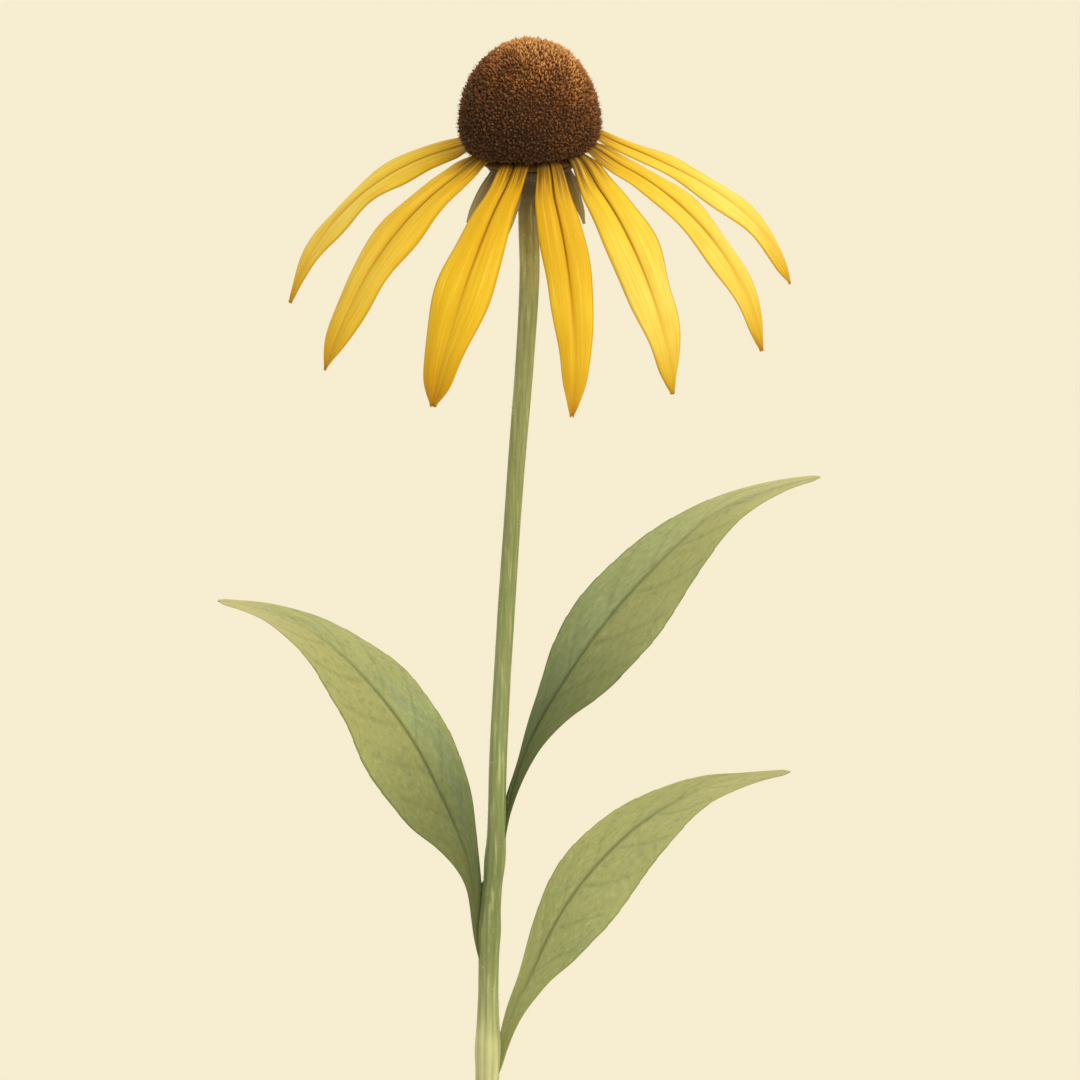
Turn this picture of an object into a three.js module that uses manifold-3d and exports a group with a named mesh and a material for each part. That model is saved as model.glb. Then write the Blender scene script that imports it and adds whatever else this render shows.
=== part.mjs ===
// A yellow coneflower, cut with a leafy stem, standing in a plain stoneware bud vase.
// Millimetres, +Z up. The origin is the centre of the vase's flat foot, and the flower faces -Y.

import * as THREE from 'three';
import { ConvexGeometry } from 'three/addons/geometries/ConvexGeometry.js';
import { mergeVertices } from 'three/addons/utils/BufferGeometryUtils.js';
import Module from 'manifold-3d';

const wasm = await Module();
wasm.setup();

// Room left between pieces that touch, and the least thickness of a petal, bract or leaf
const gap = 0.3;
const bladeThickness = 0.7;
const weldDistance = 1e-4;

// Vase: a bottle shape, its outer outline as [radius, height] from the foot to the neck
const vaseSides = 36;
const vaseOutline = [
  [24.5, 1.2], [31, 16], [36, 45], [32, 76], [18.5, 99], [12.2, 114], [11.6, 127], [12.4, 136],
];
const vaseOutlineSteps = 14;
const footRadius = 23.3;
const vaseWall = 3.5;
const vaseFloor = 6;
const mouthRadius = 8.8;
const lipRadius = 12.9;
const lipHeight = 140;
const lipRound = 1.2;
const waterLevel = 112;

// Stem: its route from the vase's floor to the head, and its radius at some heights
const stemSides = 10;
const stemSteps = 34;
const stemTopStraight = 6;
const stemRoute = [
  [-0.6, 0.6, vaseFloor + gap], [1.4, 0.8, 50], [3.6, 0.5, 96], [5.4, 0, 134], [5.9, -0.2, 147],
  [6.5, -0.7, 181], [7.8, -0.9, 198], [8.2, -1.1, 215], [9.7, -1.3, 243], [12, -1.2, 277],
  [13.6, -0.9, 297], [14.6, -0.4, 315],
];
const stemRadii = [
  [0, 2.5], [147, 2.35], [156, 2.4], [166, 2.05], [181, 2.1], [190, 1.9], [196, 2], [208, 1.75],
  [243, 1.7], [280, 1.7], [305, 1.85], [340, 2],
];

// Head: its centre, where the cone is widest, and how far its axis leans forward and to the left
const headCentre = [14.7, 0, 343.9];
const headForward = 4;
const headLeft = 2.5;

// Cone of disc florets, measured from the head's centre along its axis
const coneRadius = 14.7;
const coneWidest = 1;
const coneTop = 19;
const coneBottom = -4.4;
const coneBaseRadius = 11.2;
const coneBumps = 230;
const coneBumpDepth = 0.8;
const coneSideDepth = 0.55;
const coneBaseCorners = 24;
const coneProfileSteps = 80;
const goldenAngle = Math.PI * (3 - Math.sqrt(5));

// Collar that carries the ray petals, round the boss of the receptacle
const collarInner = 5.5;
const collarOuter = 10.6;
const collarTop = coneBottom - gap;
const collarBottom = -5.9;
const collarChamfer = 0.4;

// Ray petals. azimuth is 0 to the front and grows to the right, sweep turns the tip sideways,
// rise and droop are the slopes at root and tip, a low bend bends the petal early, widest is the share
// of the length where it is widest, and twist turns its face.
const petalRoot = { radius: 9.8, height: -5.3 };
const rays = [
  {
    azimuth: -113.7, sweep: 30, rise: 10, droop: -66.6, bend: 0.65,
    length: 57.2, width: 9.8, widest: 0.4, twist: -28,
  },
  {
    azimuth: -67.3, sweep: -5.3, rise: -8.7, droop: -68.8, bend: 0.59,
    length: 53.3, width: 9.8, widest: 0.47, twist: -27,
  },
  {
    azimuth: -15.5, sweep: -30, rise: -11.2, droop: -76.4, bend: 1.43,
    length: 61.1, width: 11.1, widest: 0.61, twist: -12,
  },
  {
    azimuth: 14.7, sweep: -29.6, rise: -13.6, droop: -56.2, bend: 0.24,
    length: 54.8, width: 9.3, widest: 0.38, twist: -5,
  },
  {
    azimuth: 53.2, sweep: 23.3, rise: -20.6, droop: -86.9, bend: 0.52,
    length: 51.7, width: 11.4, widest: 0.47, twist: 25,
  },
  {
    azimuth: 77.8, sweep: 0, rise: -7.1, droop: -81.8, bend: 0.8,
    length: 57, width: 8.9, widest: 0.52, twist: 24,
  },
  {
    azimuth: 110.4, sweep: -19.9, rise: -12.2, droop: -71.3, bend: 1.38,
    length: 57, width: 9.5, widest: 0.44, twist: 29,
  },
  {
    azimuth: 144, sweep: 4, rise: -28, droop: -68, bend: 0.57,
    length: 50, width: 9.4, widest: 0.5, twist: 12,
  },
  {
    azimuth: 173.7, sweep: -9.4, rise: -23.7, droop: -65.1, bend: 0.96,
    length: 50, width: 8.3, widest: 0.5, twist: 26,
  },
  {
    azimuth: -163.8, sweep: 15.4, rise: -29.8, droop: -65.4, bend: 0.47,
    length: 50, width: 8.5, widest: 0.5, twist: -17,
  },
];
// Share of a petal's full width at each tenth of its length
const petalShape = [0.44, 0.56, 0.71, 0.86, 0.97, 1, 0.96, 0.87, 0.71, 0.5, 0.12];
const petalSteps = 12;
const pathStepsPerStation = 5;
const petalCells = [-1, -0.66, -0.33, 0, 0.33, 0.66, 1];
const petalRidge = 0.055;
const petalEdgeDrop = 0.05;
const twistLength = 0.26;

// Receptacle and its bent-back bracts
const receptacleOutline = [[9, -6.6], [8.4, -7.5], [5.8, -9.2], [3.5, -11.2], [2.5, -13.2]];
const receptacleChamfer = 0.3;
const bossRadius = 5.2;
const receptacleSides = 24;
const bractCount = 13;
const bractFirst = 24;
const bractRoot = { radius: 7, height: -7.3 };
const bractLength = [12, 10.5];
const bractWidth = 2.3;
const bractSlope = [-69, -72];
const bractOpening = 5;
const bractCurl = 12;
const bractEdgeDrop = 0.25;
const bractSteps = 5;
const bractShape = [0.8, 1, 0.95, 0.75, 0.48, 0.22];
const bractCells = [-1, 0, 1];

// Leaves: the midrib's route, the half widths to each side at each tenth of its length,
// and the way the upper face looks at some shares of its length
const leafSteps = 18;
const leafCells = [-1, -0.72, -0.42, -0.14, 0, 0.14, 0.42, 0.72, 1];
const leafFold = 9;
const leafWave = 0.7;
const leafWaves = 3.2;
const leafWaveOffset = 2;
const leafRib = 0.7;
const leafRibReach = 0.25;
const leafRibTaper = 0.7;
const leafStalkExtra = 0.5;
const leafStalkShare = 0.16;
const leaves = [
  {
    name: 'leaf_left',
    route: [
      [3.7, -0.9, 181], [2.8, -1.3, 190], [0.9, -2, 197.7], [-3.4, -4, 208.9], [-9, -7, 221.2],
      [-17.2, -10, 233.5], [-27, -13, 244], [-36.8, -15, 249.6], [-47, -16, 252.4],
    ],
    face: [[0, 1, -0.3, 0], [0.22, 0.5, -0.85, 0.1], [0.6, 0.3, -0.92, 0.15], [1, 0, -0.8, 0.5]],
    rightHalf: [1.3, 2.2, 4.1, 6.5, 7.5, 7.6, 7.2, 5.3, 3.2, 1.7, 0.5],
    leftHalf: [1.3, 2.6, 6, 9.6, 11.6, 11.2, 9, 6.9, 4.4, 1.8, 0.5],
    wavePhase: 0.6,
  },
  {
    name: 'leaf_upper_right',
    route: [
      [10.4, -0.8, 195], [10.8, -0.7, 203.4], [12.9, 0.3, 213.7], [15.7, 1.6, 220.8], [21.7, 4, 230.7],
      [30.8, 8, 242.8], [43, 12, 255.3], [53.1, 15, 263.3], [65.3, 18, 267.6], [73.5, 19, 269.2],
    ],
    face: [[0, -1, -0.3, 0], [0.22, -0.5, -0.85, 0.1], [0.6, -0.3, -0.92, 0.15], [1, 0, -0.8, 0.5]],
    rightHalf: [1, 1.2, 2.8, 5.4, 9.4, 10.7, 9.3, 7, 4.5, 2, 0.5],
    leftHalf: [1, 1, 1.1, 3.3, 6.4, 7.2, 6.5, 5.2, 2.7, 1.4, 0.5],
    wavePhase: 2.1,
  },
  {
    name: 'leaf_lower_right',
    route: [
      [9, -0.4, 153.5], [11.3, -1.8, 162.5], [14.7, -4, 170.2], [19.1, -7, 181.3], [23.7, -10, 190.1],
      [28.7, -13, 197.5], [36.6, -17, 206.5], [48.4, -22, 215.2], [57.2, -25, 218.5], [66, -28, 220.7],
    ],
    face: [[0, -1, -0.3, 0], [0.22, -0.5, -0.85, 0.1], [0.6, -0.3, -0.92, 0.15], [1, 0, -0.8, 0.5]],
    rightHalf: [1.3, 3, 4.6, 8.4, 10.1, 10.2, 8.5, 6.6, 3.8, 1.8, 0.5],
    leftHalf: [1.3, 1.8, 3.2, 4.7, 5.9, 6, 5.6, 4.2, 2.7, 1.1, 0.5],
    wavePhase: 4.4,
  },
];

const glaze = new THREE.MeshStandardMaterial({ color: 0xe9e3d3, roughness: 0.35, metalness: 0 });
const clearWater = new THREE.MeshStandardMaterial({ color: 0xd5e2df, roughness: 0.05, metalness: 0 });
const stemGreen = new THREE.MeshStandardMaterial({ color: 0x9aa05e, roughness: 0.7, metalness: 0 });
const bractGreen = new THREE.MeshStandardMaterial({ color: 0x8a7236, roughness: 0.8, metalness: 0 });
const petalYellow = new THREE.MeshStandardMaterial({ color: 0xecc233, roughness: 0.6, metalness: 0 });
const coneBrown = new THREE.MeshStandardMaterial({ color: 0x5a3319, roughness: 0.9, metalness: 0 });
const leafGreen = new THREE.MeshStandardMaterial({ color: 0x919a5c, roughness: 0.7, metalness: 0 });

const radians = THREE.MathUtils.degToRad;
const vector = ([x, y, z]) => new THREE.Vector3(x, y, z);

// Value at a share from 0 to 1 of a list whose entries are evenly spaced
function along(list, share) {
  const curve = new THREE.SplineCurve(list.map((value, i) => new THREE.Vector2(i, value)));
  return curve.getPoint(share).y;
}

// Value at a place of a list of [place, value] rows, straight between them
function between(rows, place) {
  const next = rows.findIndex(([at]) => at >= place);
  if (next === 0) return rows[0][1];
  if (next < 0) return rows[rows.length - 1][1];
  const [fromAt, from] = rows[next - 1];
  const [toAt, to] = rows[next];
  return from + (to - from) * (place - fromAt) / (toAt - fromAt);
}

function meshGeometry(points, index) {
  const geometry = new THREE.BufferGeometry().setFromPoints(points);
  geometry.setIndex(index);
  return geometry;
}

// A closed geometry as a solid that can be joined and cut
function solid(geometry) {
  const bare = new THREE.BufferGeometry();
  bare.setAttribute('position', geometry.getAttribute('position'));
  bare.setIndex(geometry.getIndex());
  const welded = mergeVertices(bare, weldDistance);
  const corners = welded.getIndex().array;
  const faces = [];
  for (let i = 0; i < corners.length; i += 3) {
    const [a, b, c] = corners.slice(i, i + 3);
    if (a !== b && b !== c && c !== a) faces.push(a, b, c);
  }
  return new wasm.Manifold(new wasm.Mesh({
    numProp: 3,
    vertProperties: Float32Array.from(welded.getAttribute('position').array),
    triVerts: Uint32Array.from(faces),
  }));
}

function geometryOf(manifold) {
  const { vertProperties, triVerts } = manifold.getMesh();
  const geometry = new THREE.BufferGeometry();
  geometry.setAttribute('position', new THREE.BufferAttribute(Float32Array.from(vertProperties), 3));
  geometry.setIndex(new THREE.BufferAttribute(Uint32Array.from(triVerts), 1));
  return geometry;
}

// A turned solid from an outline of [radius, height] points that starts and ends on the axis
function turned(outline, sides) {
  const lathe = new THREE.LatheGeometry(outline.map(([r, z]) => new THREE.Vector2(r, z)), sides);
  return solid(lathe.rotateX(Math.PI / 2));
}

// A closed skin over like rings of points, with a fan over each end
function loft(rings) {
  const count = rings[0].length;
  const points = rings.flat();
  const index = [];
  for (let r = 0; r + 1 < rings.length; r++) {
    for (let c = 0; c < count; c++) {
      const a = r * count + c;
      const b = r * count + (c + 1) % count;
      index.push(a, b, b + count, a, b + count, a + count);
    }
  }
  const middle = (ring) => ring.reduce((sum, p) => sum.add(p), new THREE.Vector3()).divideScalar(count);
  const lastRow = (rings.length - 1) * count;
  points.push(middle(rings[0]), middle(rings[rings.length - 1]));
  for (let c = 0; c < count; c++) {
    const d = (c + 1) % count;
    index.push(points.length - 2, d, c, points.length - 1, lastRow + c, lastRow + d);
  }
  return meshGeometry(points, index);
}

// A thin blade from two like grids of points. Both faces are split along the same diagonals,
// so that they stay apart where the blade waves, and the rim closes it.
function blade(upper, lower) {
  const rows = upper.length;
  const columns = upper[0].length;
  const points = [...upper.flat(), ...lower.flat()];
  const below = rows * columns;
  const index = [];
  for (let r = 0; r + 1 < rows; r++) {
    for (let c = 0; c + 1 < columns; c++) {
      const a = r * columns + c;
      const b = a + 1;
      const d = a + columns;
      const e = d + 1;
      index.push(a, b, e, a, e, d);
      index.push(below + a, below + e, below + b, below + a, below + d, below + e);
    }
  }
  const rim = [];
  for (let c = 0; c < columns; c++) rim.push(c);
  for (let r = 1; r < rows; r++) rim.push(r * columns + columns - 1);
  for (let c = columns - 2; c >= 0; c--) rim.push((rows - 1) * columns + c);
  for (let r = rows - 2; r > 0; r--) rim.push(r * columns);
  rim.forEach((a, i) => {
    const b = rim[(i + 1) % rim.length];
    index.push(a, below + a, below + b, a, below + b, b);
  });
  return meshGeometry(points, index);
}

// A blade along stations, each { at, across, up, left, right }. section(u, share) gives how far the
// blade's middle stands up at u, from -1 on the left edge to 1 on the right one, and its thickness.
function bladeAlong(stations, cells, section) {
  const upper = [];
  const lower = [];
  stations.forEach(({ at, across, up, left, right }, i) => {
    const share = i / (stations.length - 1);
    const row = cells.map((u) => {
      const { lift, thickness } = section(u, share);
      const middle = at.clone().addScaledVector(across, u * (u < 0 ? left : right));
      return [
        middle.clone().addScaledVector(up, lift + bladeThickness / 2),
        middle.clone().addScaledVector(up, lift + bladeThickness / 2 - thickness),
      ];
    });
    upper.push(row.map(([top]) => top));
    lower.push(row.map(([, bottom]) => bottom));
  });
  return blade(upper, lower);
}

// Vase and water

// Radius of the vase's hollow where its outside has the given radius
const hollowRadius = (outside) => Math.max(mouthRadius, outside - vaseWall);

function vaseProfile() {
  const curve = new THREE.SplineCurve(vaseOutline.map(([r, z]) => new THREE.Vector2(r, z)));
  return curve.getSpacedPoints(vaseOutlineSteps).map((p) => [p.x, p.y]);
}

function hollowProfile(outside) {
  const inside = outside.filter(([, z]) => z > vaseFloor + vaseWall).map(([r, z]) => [hollowRadius(r), z]);
  const lowest = inside[0];
  return [[0, vaseFloor], [lowest[0] - vaseWall, vaseFloor], ...inside];
}

function vaseSolid() {
  const outside = vaseProfile();
  const lip = [
    [lipRadius, lipHeight - lipRound], [lipRadius - lipRound / 2, lipHeight],
    [mouthRadius + lipRound, lipHeight], [mouthRadius, lipHeight - lipRound],
  ];
  const inside = hollowProfile(outside).reverse();
  return turned([[0, 0], [footRadius, 0], ...outside, ...lip, ...inside], vaseSides);
}

function waterSolid() {
  const hollow = hollowProfile(vaseProfile());
  const sides = hollow.slice(1).filter(([, z]) => z < waterLevel);
  const above = hollow.find(([, z]) => z >= waterLevel);
  const below = sides[sides.length - 1];
  const share = (waterLevel - below[1]) / (above[1] - below[1]);
  const surfaceRadius = below[0] + (above[0] - below[0]) * share;
  const outline = [...sides, [surfaceRadius, waterLevel]].map(([r, z]) => [r - gap, z]);
  outline[0][1] = vaseFloor + gap;
  return turned([[0, vaseFloor + gap], ...outline, [0, waterLevel]], vaseSides);
}

// Stem

// Round sections along a route, each wider than the stem by the given room
function stemRings(route, room) {
  const curve = new THREE.CatmullRomCurve3(route);
  const rings = [];
  for (let i = 0; i <= stemSteps; i++) {
    const at = curve.getPointAt(i / stemSteps);
    const tangent = curve.getTangentAt(i / stemSteps);
    const side = new THREE.Vector3(1, 0, 0).cross(tangent).cross(tangent).negate().normalize();
    const radius = between(stemRadii, at.z) + room;
    const ring = [];
    for (let k = 0; k < stemSides; k++) {
      const turnedSide = side.clone().applyAxisAngle(tangent, 2 * Math.PI * k / stemSides);
      ring.push(at.clone().addScaledVector(turnedSide, radius));
    }
    rings.push(ring);
  }
  return rings;
}

// Cone of florets

// The cone's outline from the top of its axis down to its flat base, as [radius, height]
function coneProfile(steps) {
  const outline = [];
  for (let i = 0; i <= steps; i++) {
    const angle = Math.PI / 2 * i / steps;
    outline.push([coneRadius * Math.sin(angle), coneWidest + (coneTop - coneWidest) * Math.cos(angle)]);
  }
  for (let i = 1; i <= steps / 4; i++) {
    const angle = Math.PI / 2 * i / (steps / 4);
    outline.push([
      coneBaseRadius + (coneRadius - coneBaseRadius) * Math.cos(angle),
      coneWidest - (coneWidest - coneBottom) * Math.sin(angle),
    ]);
  }
  return outline;
}

// Points in a golden-angle spiral, each with an equal share of the cone's surface
function coneTips() {
  const outline = coneProfile(coneProfileSteps);
  const areas = [0];
  for (let i = 1; i < outline.length; i++) {
    const [r0, z0] = outline[i - 1];
    const [r1, z1] = outline[i];
    areas.push(areas[i - 1] + (r0 + r1) * Math.hypot(r1 - r0, z1 - z0));
  }
  const tips = [];
  for (let i = 0; i < coneBumps; i++) {
    const area = areas[areas.length - 1] * (i + 0.5) / coneBumps;
    const radius = between(areas.map((a, k) => [a, outline[k][0]]), area);
    const height = between(areas.map((a, k) => [a, outline[k][1]]), area);
    if (height > coneBottom + 2 * coneBumpDepth) {
      const angle = i * goldenAngle;
      tips.push(new THREE.Vector3(radius * Math.cos(angle), radius * Math.sin(angle), height));
    }
  }
  return tips;
}

// A hull over the tips, each of its faces split in six and sunk between its corners
function coneGeometry() {
  const points = coneTips();
  for (let k = 0; k < coneBaseCorners; k++) {
    const angle = 2 * Math.PI * k / coneBaseCorners;
    const corner = [coneBaseRadius * Math.cos(angle), coneBaseRadius * Math.sin(angle), coneBottom];
    points.push(vector(corner));
  }
  const hull = new ConvexGeometry(points).getAttribute('position');
  const heart = new THREE.Vector3(0, 0, coneWidest);
  const sunk = (point, depth) => {
    const kept = point.z < coneBottom + coneBumpDepth ? 0 : depth;
    return point.addScaledVector(heart.clone().sub(point).normalize(), kept);
  };
  const corners = [];
  for (let i = 0; i < hull.count; i += 3) {
    const [a, b, c] = [0, 1, 2].map((k) => new THREE.Vector3().fromBufferAttribute(hull, i + k));
    const middle = a.clone().add(b).add(c).divideScalar(3);
    sunk(middle, coneBumpDepth);
    [[a, b], [b, c], [c, a]].forEach(([from, to]) => {
      const half = sunk(from.clone().add(to).multiplyScalar(0.5), coneSideDepth);
      corners.push(from, half, middle, half, to, middle);
    });
  }
  return new THREE.BufferGeometry().setFromPoints(corners);
}

// Petals

// Stations along a blade that leaves the head at an azimuth and bends down as it goes
function droopingStations({ root, azimuth, sweep, rise, droop, bend, length, twist, halfWidth, steps }) {
  const count = steps * pathStepsPerStation;
  const start = radians(azimuth);
  const at = new THREE.Vector3(Math.sin(start) * root.radius, -Math.cos(start) * root.radius, root.height);
  const stations = [];
  for (let i = 0; i <= count; i++) {
    const share = Math.min((i + 0.5) / count, 1);
    const slope = radians(rise + (droop - rise) * share ** bend);
    const turn = radians(azimuth + sweep * share ** 2);
    const outward = new THREE.Vector3(Math.sin(turn), -Math.cos(turn), 0);
    const ahead = outward.clone().multiplyScalar(Math.cos(slope));
    ahead.z = Math.sin(slope);
    if (i % pathStepsPerStation === 0) {
      const stationShare = i / count;
      const level = ahead.clone().cross(new THREE.Vector3(0, 0, 1)).normalize();
      const turnedBy = radians(twist) * THREE.MathUtils.smoothstep(stationShare, 0, twistLength);
      const across = level.applyAxisAngle(ahead, turnedBy);
      const up = across.clone().cross(ahead).normalize();
      const half = halfWidth(stationShare);
      stations.push({ at: at.clone(), across, up, left: half, right: half });
    }
    at.addScaledVector(ahead, length / count);
  }
  return stations;
}

function petalGeometry(ray) {
  const shift = Math.log(0.5) / Math.log(ray.widest);
  const halfWidth = (share) => ray.width / 2 * along(petalShape, share ** shift);
  const stations = droopingStations({ ...ray, root: petalRoot, halfWidth, steps: petalSteps });
  return bladeAlong(stations, petalCells, (u, share) => {
    const ridge = petalRidge * Math.sin(Math.PI * Math.abs(u));
    const lift = 2 * halfWidth(share) * (ridge - petalEdgeDrop * u * u);
    return { lift, thickness: bladeThickness };
  });
}

function petalsSolid() {
  const outline = [
    [collarInner, collarBottom], [collarOuter - collarChamfer, collarBottom],
    [collarOuter, collarBottom + collarChamfer], [collarOuter, collarTop - collarChamfer],
    [collarOuter - collarChamfer, collarTop], [collarInner, collarTop], [collarInner, collarBottom],
  ];
  const collar = turned(outline, receptacleSides);
  return rays.reduce((sum, ray) => sum.add(solid(petalGeometry(ray))), collar);
}

// Receptacle and bracts

function bractGeometry(i) {
  const row = i % 2;
  const azimuth = bractFirst + (360 - 2 * bractFirst) * i / (bractCount - 1);
  const slope = bractSlope[row] - bractOpening * Math.sin(radians(azimuth));
  const halfWidth = (share) => bractWidth / 2 * along(bractShape, share);
  const stations = droopingStations({
    root: bractRoot, azimuth, sweep: 0, rise: slope + bractCurl, droop: slope,
    bend: 0.5, length: bractLength[row], twist: 0, halfWidth, steps: bractSteps,
  });
  return bladeAlong(stations, bractCells, (u) => ({ lift: -bractEdgeDrop * u * u, thickness: bladeThickness }));
}

function involucreSolid() {
  const outline = [
    [0, coneBottom - gap], [bossRadius, coneBottom - gap], [bossRadius, collarBottom - gap],
    [receptacleOutline[0][0] - receptacleChamfer, collarBottom - gap], ...receptacleOutline,
    [0, receptacleOutline[receptacleOutline.length - 1][1]],
  ];
  let sum = turned(outline.reverse(), receptacleSides);
  for (let i = 0; i < bractCount; i++) sum = sum.add(solid(bractGeometry(i)));
  return sum;
}

// Leaves

function leafGeometry({ route, face, rightHalf, leftHalf, wavePhase }) {
  const midrib = new THREE.CatmullRomCurve3(route.map(vector));
  const looks = [1, 2, 3].map((axis) => face.map((row) => [row[0], row[axis]]));
  const stations = [];
  for (let i = 0; i <= leafSteps; i++) {
    const share = i / leafSteps;
    const ahead = midrib.getTangentAt(share);
    const up = vector(looks.map((rows) => between(rows, share)));
    up.addScaledVector(ahead, -up.dot(ahead)).normalize();
    const across = ahead.clone().cross(up);
    const [left, right] = [along(leftHalf, share), along(rightHalf, share)];
    stations.push({ at: midrib.getPointAt(share), across, up, left, right });
  }
  return bladeAlong(stations, leafCells, (u, share) => {
    const half = u < 0 ? along(leftHalf, share) : along(rightHalf, share);
    const bladeShare = THREE.MathUtils.smoothstep(share, 0, leafStalkShare * 2);
    const wave = Math.sin(leafWaves * 2 * Math.PI * share + wavePhase + (u < 0 ? 0 : leafWaveOffset));
    const fade = bladeShare * (1 - share);
    const lift = Math.abs(u) * half * Math.sin(radians(leafFold)) + leafWave * wave * u * u * fade;
    const rib = leafRib * (1 - leafRibTaper * share) * Math.max(0, 1 - Math.abs(u) / leafRibReach);
    const stalk = leafStalkExtra * (1 - THREE.MathUtils.smoothstep(share, 0, leafStalkShare));
    return { lift, thickness: bladeThickness + rib * bladeShare + stalk };
  });
}

const flower = new THREE.Group();

function add(parent, name, geometry, material) {
  const mesh = new THREE.Mesh(geometry, material);
  mesh.name = name;
  parent.add(mesh);
}

const head = new THREE.Group();
head.position.set(...headCentre);
head.rotation.set(radians(headForward), radians(-headLeft), 0);
head.updateMatrixWorld();
flower.add(head);

// The stem ends square under the receptacle, in line with the head's axis
const receptacleBottom = receptacleOutline[receptacleOutline.length - 1][1];
const stemTop = head.localToWorld(new THREE.Vector3(0, 0, receptacleBottom - gap));
const stemBelowTop = head.localToWorld(
  new THREE.Vector3(0, 0, receptacleBottom - gap - stemTopStraight),
);
const wholeRoute = [...stemRoute.map(vector), stemBelowTop, stemTop];

const belowFloor = wholeRoute[0].clone().setZ(0);
const stem = stemRings(wholeRoute, 0);
const hole = stemRings([belowFloor, ...wholeRoute], gap);

add(flower, 'vase', geometryOf(vaseSolid()), glaze);
add(flower, 'water', geometryOf(waterSolid().subtract(solid(loft(hole)))), clearWater);
add(flower, 'stem', loft(stem), stemGreen);
add(head, 'involucre', geometryOf(involucreSolid()), bractGreen);
add(head, 'ray_petals', geometryOf(petalsSolid()), petalYellow);
add(head, 'cone', geometryOf(solid(coneGeometry())), coneBrown);
leaves.forEach((leaf) => add(flower, leaf.name, leafGeometry(leaf), leafGreen));

export default flower;
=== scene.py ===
from math import cos, log, pi, radians, sin, sqrt

import bpy
import numpy as np
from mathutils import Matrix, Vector


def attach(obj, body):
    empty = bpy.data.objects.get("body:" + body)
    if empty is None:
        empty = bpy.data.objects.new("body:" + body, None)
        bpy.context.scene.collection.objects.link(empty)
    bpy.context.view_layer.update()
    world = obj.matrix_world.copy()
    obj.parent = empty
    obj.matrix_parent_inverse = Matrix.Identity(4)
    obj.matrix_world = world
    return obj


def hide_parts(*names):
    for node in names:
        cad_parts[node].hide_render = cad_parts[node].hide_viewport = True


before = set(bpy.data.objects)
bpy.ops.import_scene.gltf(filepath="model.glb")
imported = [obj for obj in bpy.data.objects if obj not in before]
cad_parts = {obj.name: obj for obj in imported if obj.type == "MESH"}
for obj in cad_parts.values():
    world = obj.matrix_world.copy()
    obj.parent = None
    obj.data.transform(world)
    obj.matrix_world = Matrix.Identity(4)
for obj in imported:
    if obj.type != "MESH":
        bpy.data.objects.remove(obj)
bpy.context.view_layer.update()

# Lengths are in millimetres, as in the part's source, and become metres when a mesh is made
mm = 0.001
scene = bpy.context.scene
print("frame loaded:", len(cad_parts), "nodes")


# Numbers and curves

# Smoothly from 0 at low to 1 at high, and the other way round
def rise(value, low, high):
    t = np.clip((np.asarray(value, float) - low) / (high - low), 0, 1)
    return t * t * (3 - 2 * t)


def fall(value, low, high):
    return 1 - rise(value, low, high)


def bell(distance, width):
    return np.exp(-(np.asarray(distance, float) / width) ** 2)


def unit(vectors):
    vectors = np.asarray(vectors, float)
    return vectors / np.linalg.norm(vectors, axis=-1, keepdims=True)


# Value at a share from 0 to 1 of evenly spaced values, on a smooth curve through them
def along(values, share):
    values = np.asarray(values, float)
    last = len(values) - 1
    place = np.clip(share, 0, 1) * last
    whole = np.minimum(np.floor(place).astype(int), last - 1)
    t = place - whole
    before, start = values[np.maximum(whole - 1, 0)], values[whole]
    end, after = values[whole + 1], values[np.minimum(whole + 2, last)]
    leave, arrive = (end - before) / 2, (after - start) / 2
    cubic = 2 * start - 2 * end + leave + arrive
    square = -3 * start + 3 * end - 2 * leave - arrive
    return cubic * t ** 3 + square * t ** 2 + leave * t + start


# Points at even steps of length along a fine line, and its whole length
def evenly(fine, steps):
    lengths = np.concatenate([[0], np.cumsum(np.linalg.norm(np.diff(fine, axis=0), axis=1))])
    wanted = np.linspace(0, lengths[-1], steps + 1)
    return np.stack([np.interp(wanted, lengths, values) for values in fine.T], 1), lengths[-1]


# Even points along a smooth route through the given points, its directions and its length
def alongRoute(route, steps, finePerSpan=60):
    given = np.array(route, float)
    knots = np.vstack([2 * given[0] - given[1], given, 2 * given[-1] - given[-2]])
    fine = []
    for i in range(len(given) - 1):
        p = knots[i:i + 4]
        k = np.concatenate([[0], np.cumsum(np.linalg.norm(np.diff(p, axis=0), axis=1) ** 0.5)])
        t = np.linspace(k[1], k[2], finePerSpan, endpoint=i == len(given) - 2)[:, None]
        a = [((k[j + 1] - t) * p[j] + (t - k[j]) * p[j + 1]) / (k[j + 1] - k[j]) for j in range(3)]
        b = [((k[j + 2] - t) * a[j] + (t - k[j]) * a[j + 1]) / (k[j + 2] - k[j]) for j in range(2)]
        fine.append(((k[2] - t) * b[0] + (t - k[1]) * b[1]) / (k[2] - k[1]))
    points, length = evenly(np.vstack(fine), steps)
    return points, unit(np.gradient(points, axis=0)), length


# Meshes

# A piece's skin while it grows: points, faces and one number per point for each named attribute
def newSkin():
    return {"points": [], "faces": [], "marks": {}, "count": 0}


def addToSkin(skin, points, faces, marks):
    points = np.asarray(points, float).reshape(-1, 3)
    skin["points"].append(points)
    skin["faces"] += [tuple(int(i) + skin["count"] for i in face) for face in faces]
    for name, values in marks.items():
        flat = np.broadcast_to(values, (len(points),)) if np.ndim(values) == 0 else np.ravel(values)
        skin["marks"].setdefault(name, []).append(flat)
    skin["count"] += len(points)


def gridFaces(rows, columns, offset=0, turned=False, closed=False):
    faces = []
    for r in range(rows - 1):
        for c in range(columns if closed else columns - 1):
            a, b = r * columns + c, r * columns + (c + 1) % columns
            face = (a + offset, b + offset, b + columns + offset, a + columns + offset)
            faces.append(face[::-1] if turned else face)
    return faces


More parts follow.
